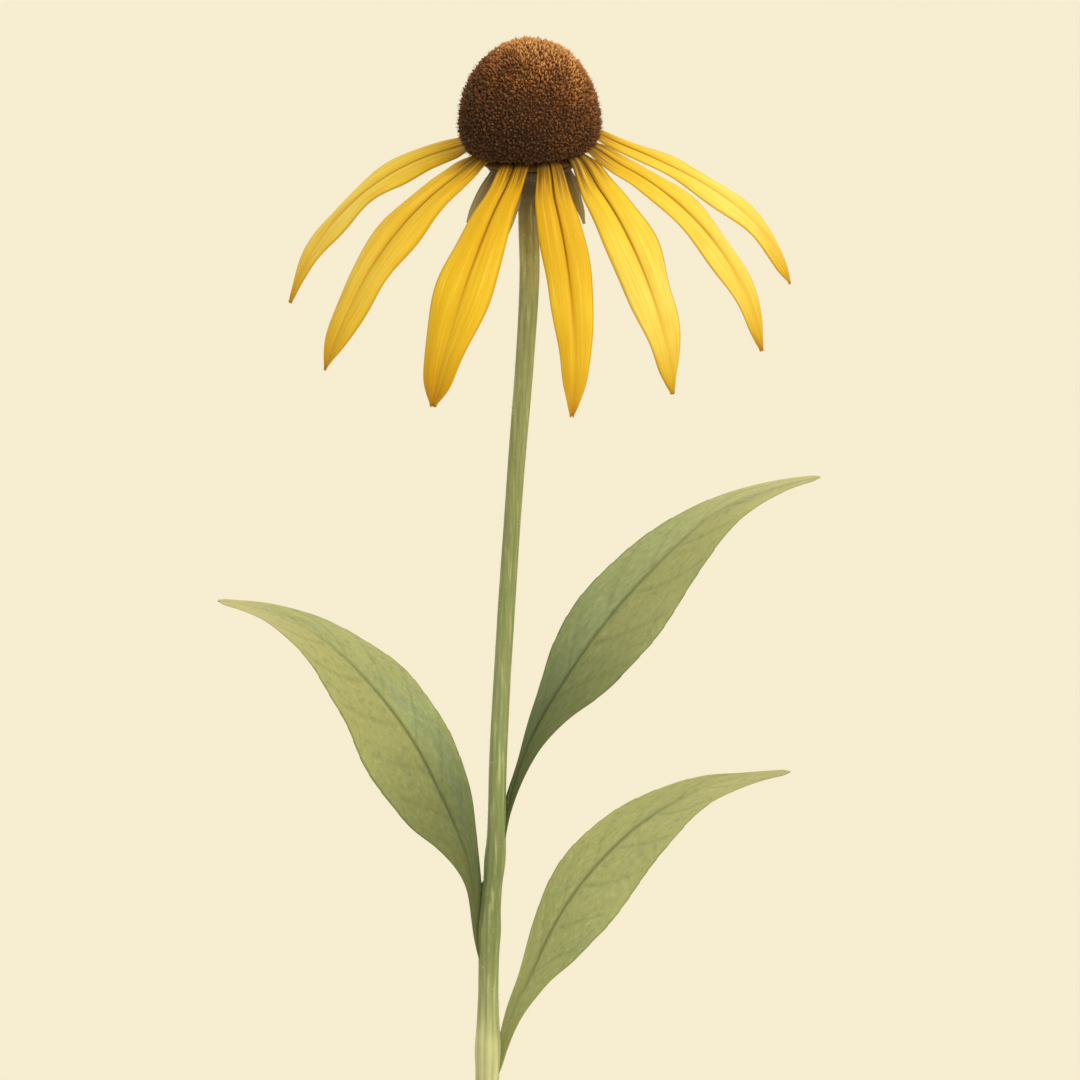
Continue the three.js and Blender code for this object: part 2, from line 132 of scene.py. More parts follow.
# Faces of rings that close on themselves, the last ring to the first
def loopFaces(rings, sides):
    count = rings * sides
    return [tuple(i % count for i in face) for face in gridFaces(rings + 1, sides, closed=True)]


# A thin closed shell from two like grids of points, with a rim between their borders
def addShell(skin, upper, lower, marks):
    rows, columns = upper.shape[:2]
    below = rows * columns
    faces = gridFaces(rows, columns) + gridFaces(rows, columns, below, turned=True)
    index = np.arange(below).reshape(rows, columns)
    rim = [*index[0], *index[1:, -1], *index[-1, -2::-1], *index[-2:0:-1, 0]]
    faces += [(a, below + a, below + b, b) for a, b in zip(rim, rim[1:] + rim[:1])]
    both = {name: np.concatenate([np.ravel(v), np.ravel(v)]) for name, v in marks.items()}
    both["underside"] = np.concatenate([np.zeros(below), np.ones(below)])
    addToSkin(skin, np.concatenate([upper.reshape(-1, 3), lower.reshape(-1, 3)]), faces, both)


# Places from edge to edge of a blade, from -1 to 1 and closer together near its middle
def placesAcross(columns):
    even = np.linspace(-1, 1, columns + 1)[None, :]
    return np.sign(even) * (0.35 * np.abs(even) + 0.65 * np.abs(even) ** 1.6)


# A blade's thickness, from its rim to its middle
def thicknessOf(blade, u):
    return blade["rimThickness"] + (blade["thickness"] - blade["rimThickness"]) * (1 - np.abs(u) ** 4)


# A blade's shell along its path, as wide to either side as half. lift raises its upper face, and
# back draws points back along the path.
def addBlade(skin, path, share, u, half, lift, thickness, marks, place=None, back=0):
    at, ahead, across, up = (vectors[:, None] for vectors in path)
    grid = np.zeros(lift.shape)    # widens a single value to the whole blade
    middle = at + across * (u * half)[..., None] - ahead * (back + grid)[..., None]
    upper = middle + up * lift[..., None]
    lower = upper - up * thickness[..., None]
    if place:
        upper, lower = place(upper), place(lower)
    marks = {"along": share, "across": u, **marks}
    addShell(skin, upper, lower, {name: values + grid for name, values in marks.items()})


# Rings round the Z axis, one for each [radius, height]
def ringsOf(outline, sides):
    outline = np.asarray(outline, float)
    angles = 2 * pi * np.arange(sides) / sides
    radii, heights = outline[:, :1], outline[:, 1:]
    return np.stack([radii * np.cos(angles), radii * np.sin(angles), np.repeat(heights, sides, 1)], -1)


# A closed skin turned round the Z axis. The outline runs from the axis to the axis, bottom first.
def addTurned(skin, outline, sides, marks, place=None):
    ends = [[0, 0, outline[0][1]], [0, 0, outline[-1][1]]]
    points = np.concatenate([ringsOf(outline[1:-1], sides).reshape(-1, 3), ends])
    faces = gridFaces(len(outline) - 2, sides, closed=True)
    low, high = len(points) - 2, len(points) - 1
    lastRow = low - sides
    for c in range(sides):
        d = (c + 1) % sides
        faces.append((low, d, c))
        faces.append((high, lastRow + c, lastRow + d))
    addToSkin(skin, points if place is None else place(points), faces, marks)


def makePiece(name, points, faces, marks={}, material=None):
    mesh = bpy.data.meshes.new(name)
    mesh.from_pydata((np.asarray(points) * mm).tolist(), [], faces)
    for label, values in marks.items():
        mesh.attributes.new(label, "FLOAT", "POINT").data.foreach_set("value", np.asarray(values, np.float32))
    mesh.shade_smooth()
    if material:
        mesh.materials.append(material)
    return pieceOf(name, mesh)


def pieceOf(name, data):
    piece = bpy.data.objects.new(name, data)
    scene.collection.objects.link(piece)
    return piece


def pieceFromSkin(name, skin, material):
    marks = {label: np.concatenate(values) for label, values in skin["marks"].items()}
    return makePiece(name, np.vstack(skin["points"]), skin["faces"], marks, material)


def standFor(piece, node):
    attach(piece, "root")
    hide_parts(node)
    piece.data.calc_loop_triangles()
    print("piece", piece.name, "for", node, "-", len(piece.data.loop_triangles), "triangles")


# Nodes of a tree. An input is set to a value, or linked to another node's output.
class Nodes:
    def __init__(self, tree):
        self.tree = tree

    def feed(self, socket, value):
        if isinstance(value, bpy.types.NodeSocket):
            self.tree.links.new(value, socket)
        else:
            socket.default_value = value

    # One output of a new node
    def add(self, kind, inputs=None, output=0, **settings):
        node = self.tree.nodes.new(kind)
        for name, value in settings.items():
            setattr(node, name, value)
        for name, value in (inputs or {}).items():
            self.feed(node.inputs[name], value)
        return node.outputs[output]

    def calc(self, operation, *values):
        return self.add("ShaderNodeMath", dict(enumerate(values)), operation=operation)

    def times(self, a, b):
        return self.calc("MULTIPLY", a, b)


# Geometry Nodes

# A tree that grows a plain mesh from the geometry of a piece
class Growth(Nodes):
    def __init__(self, name, inputs):
        super().__init__(bpy.data.node_groups.new(name, "GeometryNodeTree"))
        sockets = self.tree.interface
        for label, kind in {"Geometry": "Geometry", **inputs, "Material": "Material"}.items():
            sockets.new_socket(label, in_out="INPUT", socket_type="NodeSocket" + kind)
        sockets.new_socket("Geometry", in_out="OUTPUT", socket_type="NodeSocketGeometry")
        self.given = self.tree.nodes.new("NodeGroupInput").outputs

    def marked(self, geometry, name, value, domain="POINT"):
        return self.add("GeometryNodeStoreNamedAttribute", {
            "Geometry": geometry, "Name": name, "Value": value,
        }, data_type="FLOAT", domain=domain)

    def ended(self, geometry):
        real = self.add("GeometryNodeRealizeInstances", {"Geometry": geometry})
        painted = self.add("GeometryNodeSetMaterial", {"Geometry": real, "Material": self.given["Material"]})
        self.feed(self.tree.nodes.new("NodeGroupOutput").inputs["Geometry"], painted)
        return self.tree

    # A shape stood on every point, each a little turned and sized at random
    def strewn(self, points, shape, rotation, size):
        lean, spread, seed = (self.given[label] for label in ("Lean", "Spread", "Seed"))
        back = self.times(lean, -1.0)
        turn = self.add("FunctionNodeRandomValue", {
            "Min": self.add("ShaderNodeCombineXYZ", {"X": back, "Y": back, "Z": -pi}),
            "Max": self.add("ShaderNodeCombineXYZ", {"X": lean, "Y": lean, "Z": pi}), "Seed": seed,
        }, data_type="FLOAT_VECTOR")
        euler = self.add("FunctionNodeEulerToRotation", {"Euler": turn})
        stand = self.add("FunctionNodeRotateRotation", {
            "Rotation": rotation, "Rotate By": euler,
        }, rotation_space="LOCAL")
        least, most = self.calc("SUBTRACT", 1.0, spread), self.calc("ADD", 1.0, spread)
        random = self.add("FunctionNodeRandomValue", {2: least, 3: most, "Seed": seed}, 1, data_type="FLOAT")
        placed = self.add("GeometryNodeInstanceOnPoints", {
            "Points": points, "Instance": shape, "Rotation": stand, "Scale": self.times(random, size),
        })
        tone = self.add("FunctionNodeRandomValue", {"Seed": seed}, 1, data_type="FLOAT")
        return self.ended(self.marked(placed, "tone", tone, "INSTANCE"))


# Short tapering hairs, strewn over a surface
def makeHairTree():
    n = Growth("hairs", {
        "Density": "Float", "Length": "Float", "Thickness": "Float", "Curl": "Float", "Lean": "Float",
        "Spread": "Float", "Seed": "Int",
    })
    length = n.given["Length"]
    roots = n.add("GeometryNodeDistributePointsOnFaces", {
        "Mesh": n.given["Geometry"], "Density": n.given["Density"], "Seed": n.given["Seed"],
    }).node.outputs
    tip = n.add("ShaderNodeCombineXYZ", {"X": n.given["Curl"], "Z": 1.0})
    line = n.add("GeometryNodeCurveQuadraticBezier", {
        "Resolution": 3, "Start": (0, 0, -0.15), "Middle": (0, 0, 0.55), "End": tip,
    })
    share = n.add("GeometryNodeSplineParameter", None, "Factor")
    half = n.times(n.calc("DIVIDE", n.given["Thickness"], length), 0.5)
    hair = n.add("GeometryNodeCurveToMesh", {
        "Curve": n.marked(line, "rise", share),
        "Profile Curve": n.add("GeometryNodeCurvePrimitiveCircle", {"Resolution": 3, "Radius": half}),
        "Scale": n.calc("MULTIPLY_ADD", share, -0.85, 1.0), "Fill Caps": True,
    })
    return n.strewn(roots["Points"], hair, roots["Rotation"], length)


# One shape stood on every point, along the point's own direction
def makeStandTree():
    n = Growth("standing", {
        "Shape": "Object", "Size": "Float", "Spread": "Float", "Lean": "Float", "Seed": "Int",
    })
    outward = n.add("GeometryNodeInputNamedAttribute", {"Name": "outward"}, data_type="FLOAT_VECTOR")
    facing = n.add("FunctionNodeAlignRotationToVector", {"Vector": outward}, axis="Z")
    shape = n.add("GeometryNodeObjectInfo", {"Object": n.given["Shape"], "As Instance": True}, "Geometry")
    return n.strewn(n.given["Geometry"], shape, facing, n.given["Size"])


# A ribbed stalk swept along a curve, as thick as the curve's own radius
def makeStalkTree():
    n = Growth("stalk", {"Sides": "Int", "Ribs": "Float", "Rib depth": "Float"})
    sides = n.given["Sides"]
    section = n.add("GeometryNodeCurvePrimitiveCircle", {"Resolution": sides, "Radius": 1.0})
    turn = n.calc("DIVIDE", n.add("GeometryNodeInputIndex"), sides)
    wave = n.calc("COSINE", n.times(n.times(turn, n.given["Ribs"]), 2 * pi))
    ribbed = n.add("ShaderNodeVectorMath", {
        0: n.add("GeometryNodeInputPosition"),
        "Scale": n.calc("MULTIPLY_ADD", wave, n.given["Rib depth"], 1.0),
    }, operation="SCALE")
    profile = n.add("GeometryNodeSetPosition", {"Geometry": section, "Position": ribbed})
    swept = n.add("GeometryNodeCurveToMesh", {
        "Curve": n.given["Geometry"], "Profile Curve": n.marked(profile, "rib", wave),
        "Scale": n.add("GeometryNodeInputRadius"), "Fill Caps": True,
    })
    return n.ended(n.add("GeometryNodeSetShadeSmooth", {"Geometry": swept}))


# The plain mesh that a tree makes of a piece, with the tree's inputs set by label
def grown(name, source, tree, values):
    modifier = source.modifiers.new(tree.name, "NODES")
    modifier.node_group = tree
    for item in tree.interface.items_tree:
        if item.in_out == "INPUT" and item.name in values:
            modifier[item.identifier] = values[item.name]
    graph = bpy.context.evaluated_depsgraph_get()
    graph.update()
    mesh = bpy.data.meshes.new_from_object(source.evaluated_get(graph), depsgraph=graph)
    mesh.name = name
    source.modifiers.remove(modifier)
    return pieceOf(name, mesh)


# Hairs on a piece. Their density is per square millimetre.
def hairsOn(piece, name, hairs, material):
    return grown(name, piece, hairTree, {
        **hairs, "Density": hairs["Density"] / mm ** 2, "Length": hairs["Length"] * mm,
        "Thickness": hairs["Thickness"] * mm, "Material": material,
    })


def putAway(*pieces):
    for piece in pieces:
        bpy.data.objects.remove(piece)


hairTree = makeHairTree()
standTree = makeStandTree()
stalkTree = makeStalkTree()


# Materials

# A colour as it looks on a screen, from 0 to 255, as the shader takes it
def paint(*colour):
    shares = [value / 255 for value in colour]
    return (*(s / 12.92 if s <= 0.04045 else ((s + 0.055) / 1.055) ** 2.4 for s in shares), 1)


# A material with a Principled shader. looks sets the shader's own sockets by name.
class Finish(Nodes):
    def __init__(self, name, looks):
        self.material = bpy.data.materials.new(name)
        self.material.use_nodes = True
        super().__init__(self.material.node_tree)
        self.tree.nodes.clear()
        surface = self.add("ShaderNodeBsdfPrincipled", looks)
        self.shader = surface.node.inputs
        self.feed(self.tree.nodes.new("ShaderNodeOutputMaterial").inputs["Surface"], surface)

    def mark(self, name):
        return self.add("ShaderNodeAttribute", None, "Fac", attribute_name=name)

    # 0 at low, 1 at high and smooth between them
    def ease(self, value, low, high):
        return self.add("ShaderNodeMapRange", {
            "Value": value, "From Min": low, "From Max": high,
        }, interpolation_type="SMOOTHSTEP")

    # Each stop is its place and its colour
    def ramp(self, value, *stops):
        colours = self.add("ShaderNodeValToRGB", {"Fac": value})
        elements = colours.node.color_ramp.elements
        for i, (place, *colour) in enumerate(stops):
            element = elements[i] if i < 2 else elements.new(place)
            element.position = place
            element.color = paint(*colour)
        return colours

    def blend(self, share, first, second, mode="MIX"):
        mixed = {0: share, 6: first, 7: second}
        return self.add("ShaderNodeMix", mixed, 2, data_type="RGBA", blend_type=mode)

    # A colour laid over the body's own, by a share times a strength
    def tint(self, body, share, strength, *colour):
        return self.blend(self.times(share, strength), body, paint(*colour))

    def objectPlace(self):
        return self.add("ShaderNodeTexCoord", None, "Object")

    def speckle(self, place, scale, detail=3.0, roughness=0.5):
        return self.add("ShaderNodeTexNoise", {
            "Vector": place, "Scale": scale, "Detail": detail, "Roughness": roughness,
        })

    # Speckle stretched along a blade, by its marks: across it, along it and its own number
    def grain(self, acrossScale, alongScale, detail=3.0, roughness=0.5):
        return self.speckle(self.add("ShaderNodeCombineXYZ", {
            "X": self.times(self.mark("across"), acrossScale),
            "Y": self.times(self.mark("along"), alongScale), "Z": self.times(self.mark("tone"), 50.0),
        }), 1.0, detail, roughness)

    # A value moved up and down by a speckle
    def shifted(self, value, speckle, reach):
        return self.calc("ADD", value, self.calc("MULTIPLY_ADD", speckle, reach, -reach / 2))

    def relief(self, height, distance, strength):
        bump = self.add("ShaderNodeBump", {"Height": height, "Distance": distance, "Strength": strength})
        self.feed(self.shader["Normal"], bump)

    def coloured(self, body, *bump):
        self.feed(self.shader["Base Color"], body)
        if bump:
            self.relief(*bump)
        return self.material


# Head: the frame that the cone, petals and bracts grow in

head = {"centre": (14.7, 0, 343.9), "forward": 4, "left": 2.5}


# A turn by some degrees from one axis towards another
def turnMatrix(degrees, first, second):
    turn = np.eye(3)
    turn[first, first] = turn[second, second] = cos(radians(degrees))
    turn[second, first] = sin(radians(degrees))
    turn[first, second] = -turn[second, first]
    return turn


headTurn = turnMatrix(head["forward"], 1, 2) @ turnMatrix(-head["left"], 2, 0)


def onHead(points):
    return np.asarray(points, float) @ headTurn.T + np.array(head["centre"])


def headDirection(vectors):
    return onHead(vectors) - np.array(head["centre"])


# Path of a blade that leaves the head at an azimuth and bends down as it goes: its points, and the
# directions ahead, across and up
def droopingPath(blade, rows):
    steps = np.arange(rows + 1)
    share = np.minimum((steps + 0.5) / rows, 1)
    slope = np.radians(blade["rise"] + (blade["droop"] - blade["rise"]) * share ** blade["bend"])
    turn = np.radians(blade["azimuth"] + blade["sweep"] * share ** 2)
    ahead = np.stack([np.cos(slope) * np.sin(turn), -np.cos(slope) * np.cos(turn), np.sin(slope)], 1)
    start = radians(blade["azimuth"])
    at = np.array([sin(start), -cos(start), 0]) * blade["rootRadius"]
    at[2] = blade["rootHeight"]
    moved = np.vstack([np.zeros(3), np.cumsum(ahead[:-1], axis=0) * blade["length"] / rows])
    level = unit(np.cross(ahead, [0, 0, 1]))
    twisted = np.radians(blade["twist"]) * rise(steps / rows, 0, blade["twistLength"])
    across = level * np.cos(twisted)[:, None] + np.cross(ahead, level) * np.sin(twisted)[:, None]
    return at + moved, ahead, across, unit(np.cross(across, ahead))


# Petals

petals = {
    "rows": 84, "columns": 44,
    "rootRadius": 9.8, "rootHeight": -5.3, "rootReach": 0.17,
    "shape": [0.44, 0.56, 0.71, 0.86, 0.97, 1, 0.96, 0.87, 0.71, 0.5, 0.12],
    "ridge": 0.055, "edgeDrop": 0.05,
    "twistLength": 0.1,
    "upperOffset": 0.35,
    "thickness": 0.44, "rimThickness": 0.16, "ribThickness": 0.35, "ribWidth": 0.7,
    "grooveDepth": 0.28, "grooveWidth": 0.18, "grooveWander": 0.12, "foldWidth": 0.75,
    "sideGrooveDepth": 0.05, "sideGrooveWidth": 0.5, "sideGrooveAt": 0.52,
    "veins": 11, "veinHeight": 0.016,
    "edgeWave": 0.4, "edgeWaves": 2.6, "outlineWander": 0.022,
    "tipNotch": 0.55, "notchWidth": 0.35,
    "seed": 11,
    # seat is how far the root sits above the others, among the lowest florets, and rootExtra is how
    # much wider it is than the shape above says. The root's own end lies rootSide to the right and
    # rootUp higher, close under the cone. pale is painted light: the share of a paler, lit copy of the
    # petal colour that each petal takes, set to how brightly lit that petal looks.
    "fields": [
        "azimuth", "sweep", "rise", "droop", "bend", "length", "width", "widest", "twist", "seat",
        "rootExtra", "pale", "rootSide", "rootUp",
    ],
    "rays": [
        [-112.5, 33.1, -8, -68.5, 1, 56.8, 9.8, 0.39, -26.3, 1.8, 0, 0.8, 0, 0.4],
        [-62, -5.7, -9, -68.5, 0.67, 54, 11.2, 0.49, -15, 0.6, 0.1, 0.4, 0, 0.9],
        [-15.5, -30, -11.2, -76.4, 1.43, 61.1, 11.1, 0.61, -12, 0, 0.15, 0, -0.3, 0.8],
        [14.7, -29.6, -13.6, -56.2, 0.24, 54.8, 9.3, 0.38, -5, 0, 0, 0.05, 0.9, 0.9],
        [53.2, 23.3, -20.6, -86.9, 0.52, 51.7, 11.4, 0.47, 25, 0, 0, 1, 0.9, 1.1],
        [76.6, -7.8, -14.9, -80.4, 0.96, 56.5, 8.9, 0.51, 20.7, 1.4, 0.3, 0.85, 0.6, 1.2],
        [107.2, -7, -27.1, -76.8, 2.59, 58.1, 9.7, 0.64, 27.1, 4.5, 0, 1, 0, 0.6],
        [144, 4, -28, -68, 0.57, 50, 9.4, 0.5, 12, 1, 0, 0.5, 0, 0.5],
        [173.7, -9.4, -23.7, -65.1, 0.96, 50, 8.3, 0.5, 26, 0, 0, 0.3, 0, 0.5],
        [-163.8, 15.4, -29.8, -65.4, 0.47, 50, 8.5, 0.5, -17, 0.6, 0, 0.4, 0, 0.5],
    ],
    # Collar that carries them, as [radius, height] from inside below to inside above
    "collar": [[5.5, -5.9], [10.1, -5.9], [10.6, -5.5], [10.6, -5.1], [10.1, -4.7], [5.5, -4.7]],
    "collarSides": 72,
}


def makePetalFinish():
    n = Finish("ray petal", {
        "Roughness": 0.6, "Specular IOR Level": 0.14, "Subsurface Weight": 0.2,
        "Subsurface Radius": (1.0, 0.62, 0.1), "Subsurface Scale": 0.0014,
    })
    length = n.mark("along")
    place = n.shifted(length, n.grain(5.0, 4.0), 0.12)
    # Both colours run dark over the first tenth of the length: painted shade at the root, under the cone
    gold = n.ramp(
        place, (0.0, 96, 66, 16), (0.05, 140, 100, 12), (0.09, 186, 140, 8), (0.2, 198, 154, 9),
        (0.35, 202, 161, 12), (0.6, 206, 171, 24), (0.8, 200, 162, 18), (0.93, 182, 138, 6),
        (1.0, 152, 103, 8),
    )
    pale = n.ramp(
        place, (0.0, 96, 66, 16), (0.05, 150, 112, 18), (0.09, 204, 160, 22), (0.2, 220, 184, 42),
        (0.35, 226, 197, 66), (0.6, 229, 206, 94), (0.8, 221, 193, 76), (0.93, 204, 168, 36),
        (1.0, 172, 124, 12),
    )
    # Painted light: each petal takes the paler, lit colour by its mark pale
    body = n.blend(n.mark("pale"), gold, pale)
    streaks = n.grain(20.0, 3.0, 4.0, 0.6)
    body = n.tint(body, n.ease(streaks, 0.5, 0.75), 0.34, 244, 220, 110)
    body = n.tint(body, n.ease(streaks, 0.5, 0.28), 0.4, 192, 142, 8)
    body = n.tint(body, n.mark("underside"), 0.45, 204, 172, 60)
    body = n.tint(body, n.ease(n.grain(2.5, 6.0), 0.48, 0.7), 0.35, 204, 156, 12)
    edge = n.ease(n.calc("ABSOLUTE", n.mark("across")), 0.88, 1.0)
    body = n.tint(body, edge, 0.65, 180, 128, 6)
    body = n.tint(body, n.mark("fold"), 0.45, 190, 140, 6)
    # Painted shade at the root, close under the cone: short dark strokes
    rootShadeStrokes = n.times(n.ease(n.grain(13.0, 1.5), 0.42, 0.58), n.ease(length, 0.18, 0.06))
    body = n.tint(body, rootShadeStrokes, 0.8, 92, 62, 16)
    crease = n.ramp(length, (0.0, 58, 40, 14), (0.2, 82, 58, 14), (0.42, 134, 92, 10), (0.75, 184, 132, 8))
    depth = n.times(n.mark("vein"), n.calc("MULTIPLY_ADD", length, -0.5, 1.0))
    return n.coloured(n.blend(depth, body, crease), n.grain(60.0, 12.0, 3.0, 0.6), 0.0001, 0.5)


def makePetals():
    skin = newSkin()
    random = np.random.default_rng(petals["seed"])
    rows = petals["rows"]
    share = np.arange(rows + 1)[:, None] / rows
    u = placesAcross(petals["columns"])
    side = (u > 0).astype(float)
    for values in petals["rays"]:
        ray = {**petals, **dict(zip(petals["fields"], values))}
        ray["rootHeight"] += ray["seat"]
        at, *directions = droopingPath(ray, rows)
        at = at + fall(share, 0, ray["rootReach"]) * [ray["rootSide"], 0, ray["rootUp"]]
        shift = log(0.5) / log(ray["widest"])
        half = ray["width"] / 2 * along(ray["shape"], share ** shift)
        half = half * (1 + ray["rootExtra"] * fall(share, 0.03, 0.25))
        phase = random.uniform(0, 2 * pi, 6)
        wander = np.sin(6.9 * pi * share + phase[0] + 2 * side) + np.sin(17 * share + phase[1] - side)
        edgeHalf = half * (1 + ray["outlineWander"] * wander * rise(share, 0.08, 0.3))
        edgeHalf *= 1 - 0.35 * rise(share, 0.965, 1)
        # Two long ridges with a groove between them, fainter grooves on the ridges, and fine veins
        lift = 2 * half * (ray["ridge"] * np.sin(pi * np.abs(u)) - ray["edgeDrop"] * u * u)
        crease = u * half + ray["grooveWander"] * np.sin(7 * share + phase[5])
        groove = bell(crease, ray["grooveWidth"]) * fall(share, 0.36, 0.86)
        fold = bell(crease, ray["foldWidth"]) * fall(share, 0.55, 0.97)
        wiggle = 0.05 * np.sin(9 * share + phase[2])
        sideGroove = bell((np.abs(u) - ray["sideGrooveAt"] - wiggle) * half, ray["sideGrooveWidth"])
        sideGroove = sideGroove * rise(share, 0.05, 0.2) * fall(share, 0.7, 0.95)
        veins = np.cos(pi * ray["veins"] * u) * rise(share, 0.04, 0.2)
        waves = np.sin(2 * pi * ray["edgeWaves"] * share + phase[3] + np.where(u < 0, 0, phase[4]))
        lift = lift - ray["grooveDepth"] * groove - ray["sideGrooveDepth"] * sideGroove
        lift = lift + ray["veinHeight"] * veins * (1 - np.abs(u) ** 6)
        lift = lift + ray["edgeWave"] * waves * u ** 2 * rise(share, 0.12, 0.4)
        rib = ray["ribThickness"] * bell(u * half, ray["ribWidth"]) * fall(share, 0.3, 0.9)
        thickness = thicknessOf(ray, u) + rib
        notch = ray["tipNotch"] * random.uniform(0.3, 1)
        notch = notch * bell(u + random.uniform(-0.3, 0.3), ray["notchWidth"]) * rise(share, 0.94, 1)
        marks = {
            "tone": random.random(), "vein": np.clip(groove + 0.1 * sideGroove, 0, 1), "fold": fold,
            "pale": ray["pale"],
        }
        lift = lift + ray["upperOffset"]
        addBlade(skin, (at, *directions), share, u, edgeHalf, lift, thickness, marks, onHead, notch)
    collar = ringsOf(petals["collar"], petals["collarSides"])
    addToSkin(skin, onHead(collar), loopFaces(*collar.shape[:2]), {
        "along": 0.0, "across": 0.0, "tone": 0.5, "vein": 0.3, "fold": 0.0, "pale": 0.0, "underside": 0.0,
    })
    return pieceFromSkin("ray_petals_detailed", skin, makePetalFinish())


standFor(makePetals(), "ray_petals")


# Cone of disc florets

cone = {
    "radius": 14.7, "widest": 1, "top": 19, "bottom": -4.4, "baseRadius": 11.2,
    "outlineSteps": 160, "coreSink": 1.4, "coreSides": 72, "coreRows": 40,
    "florets": 5200, "floretTall": 0.82, "floretHalf": 0.26, "floretSides": 4, "floretSpread": 0.3,
    "floretLean": 0.5, "floretStray": 0.13,
    "upward": 0.35,
    "topLean": 0.35,    # sideways, of its very top
    "bristles": {
        "Density": 4.6, "Length": 0.86, "Thickness": 0.15, "Curl": 1.1, "Lean": 1.15, "Spread": 0.25,
        "Seed": 6,
    },
    "paleFrom": 340, "paleOver": 22.5,
    "seed": 5,
}


# The cone's outline from its top down to its base, as [radius, height]
def coneOutline(steps):
    dome = np.linspace(0, pi / 2, steps + 1)
    tuck = np.linspace(0, pi / 2, steps // 4 + 1)[1:]
    narrowing = cone["radius"] - cone["baseRadius"]
    radii = np.concatenate([cone["radius"] * np.sin(dome), cone["baseRadius"] + narrowing * np.cos(tuck)])
    heights = np.concatenate([
        cone["widest"] + (cone["top"] - cone["widest"]) * np.cos(dome),
        cone["widest"] - (cone["widest"] - cone["bottom"]) * np.sin(tuck),
    ])
    return radii, heights


# Paler towards the top of the cone and on its right, painted light from the upper right, and from each
# floret's or bristle's root to its tip
def makeConeFinish():
    n = Finish("floret", {
        "Roughness": 0.75, "Specular IOR Level": 0.25, "Sheen Weight": 0.2, "Sheen Roughness": 0.5,
        "Sheen Tint": paint(220, 156, 92),
    })
    place = n.objectPlace()
    parts = n.add("ShaderNodeSeparateXYZ", {"Vector": place}).node.outputs
    # Painted light: a little paler on the right, where the light comes from
    height = n.calc("MULTIPLY_ADD", parts["X"], 0.42, n.calc("SUBTRACT", parts["Z"], 0.0061))
    level = n.shifted(height, n.speckle(place, 150.0, 3.0, 0.6), 0.012)
    level = n.calc("DIVIDE", n.calc("SUBTRACT", level, cone["paleFrom"] * mm), cone["paleOver"] * mm)
    light = n.ramp(
        level, (0.0, 92, 58, 32), (0.25, 104, 66, 36), (0.6, 136, 86, 45), (0.78, 168, 111, 58),
        (0.9, 206, 148, 84), (1.0, 216, 162, 98),
    )
    dark = n.ramp(
        level, (0.0, 50, 31, 18), (0.25, 58, 36, 21), (0.6, 80, 49, 27), (0.78, 108, 68, 36),
        (0.9, 146, 96, 49), (1.0, 156, 106, 57),
    )
    tone = n.calc("MULTIPLY_ADD", n.mark("tone"), 0.4, 0.2)
    tone = n.calc("MULTIPLY_ADD", n.ease(n.speckle(place, 320.0, 3.0, 0.6), 0.36, 0.66), 0.6, tone)
    pale = n.times(n.ease(n.mark("rise"), 0.0, 0.9), tone)
    return n.coloured(n.blend(pale, dark, light), n.speckle(place, 2600.0, 2.0), 0.00015, 0.7)


# One bud: a pointed drop, mark "rise" from 0 at its foot to 1 at its tip
def makeFloret():
    sides = cone["floretSides"]
    outline = np.array([[0, -0.5], [0.62, -0.45], [1.0, 0.15], [0.86, 0.55], [0.42, 0.86], [0, 1.0]])
    risen = np.concatenate([np.repeat(outline[1:-1, 1], sides), outline[[0, -1], 1]])
    skin = newSkin()
    addTurned(skin, outline * [cone["floretHalf"], cone["floretTall"]], sides, {"rise": np.clip(risen, 0, 1)})
    return pieceFromSkin("floret", skin, None)


def makeCone():
    radii, heights = coneOutline(cone["outlineSteps"])
    spans = (radii[1:] + radii[:-1]) * np.hypot(np.diff(radii), np.diff(heights))
    areas = np.concatenate([[0], np.cumsum(spans)])
    count = cone["florets"]
    wanted = areas[-1] * (np.arange(count) + 0.5) / count
    radius, height = np.interp(wanted, areas, radii), np.interp(wanted, areas, heights)
    angle = np.arange(count) * pi * (3 - sqrt(5))
    slopeR, slopeZ = np.gradient(radii), np.gradient(heights)
    outR, outZ = np.interp(wanted, areas, -slopeZ), np.interp(wanted, areas, slopeR)
    outward = unit(np.stack([outR * np.cos(angle), outR * np.sin(angle), outZ], 1))
    surface = np.stack([radius * np.cos(angle), radius * np.sin(angle), height], 1)
    random = np.random.default_rng(cone["seed"])
    foot = surface - outward * cone["coreSink"] + random.normal(0, cone["floretStray"], surface.shape)
    foot[:, 0] += cone["topLean"] * rise(foot[:, 2], cone["widest"], cone["top"])
    facing = headDirection(unit(outward + [0, 0, cone["upward"]]))
    points = makePiece("floret_points", onHead(foot), [])
    points.data.attributes.new("outward", "FLOAT_VECTOR", "POINT").data.foreach_set("vector", facing.ravel())
    floret = makeFloret()
    finish = makeConeFinish()
    buds = grown("cone_florets", points, standTree, {
        "Shape": floret, "Size": 1.0, "Spread": cone["floretSpread"], "Lean": cone["floretLean"],
        "Seed": cone["seed"], "Material": finish,
    })
    putAway(points, floret)

    radii, heights = coneOutline(cone["coreRows"])
    outline = np.concatenate([[[0, cone["bottom"]]], np.stack([radii, heights], 1)[::-1]])
    shrink = 1 - cone["coreSink"] / cone["radius"]
    outline[:, 0] *= shrink
    outline[:, 1] = np.maximum(cone["bottom"], cone["widest"] + (outline[:, 1] - cone["widest"]) * shrink)
    skin = newSkin()
    addTurned(skin, outline, cone["coreSides"], {}, onHead)
    core = pieceFromSkin("cone_core", skin, finish)
    return core, buds, hairsOn(core, "cone_bristles", cone["bristles"], finish)


for part in makeCone():
    standFor(part, "cone")


# Receptacle and bent-back bracts

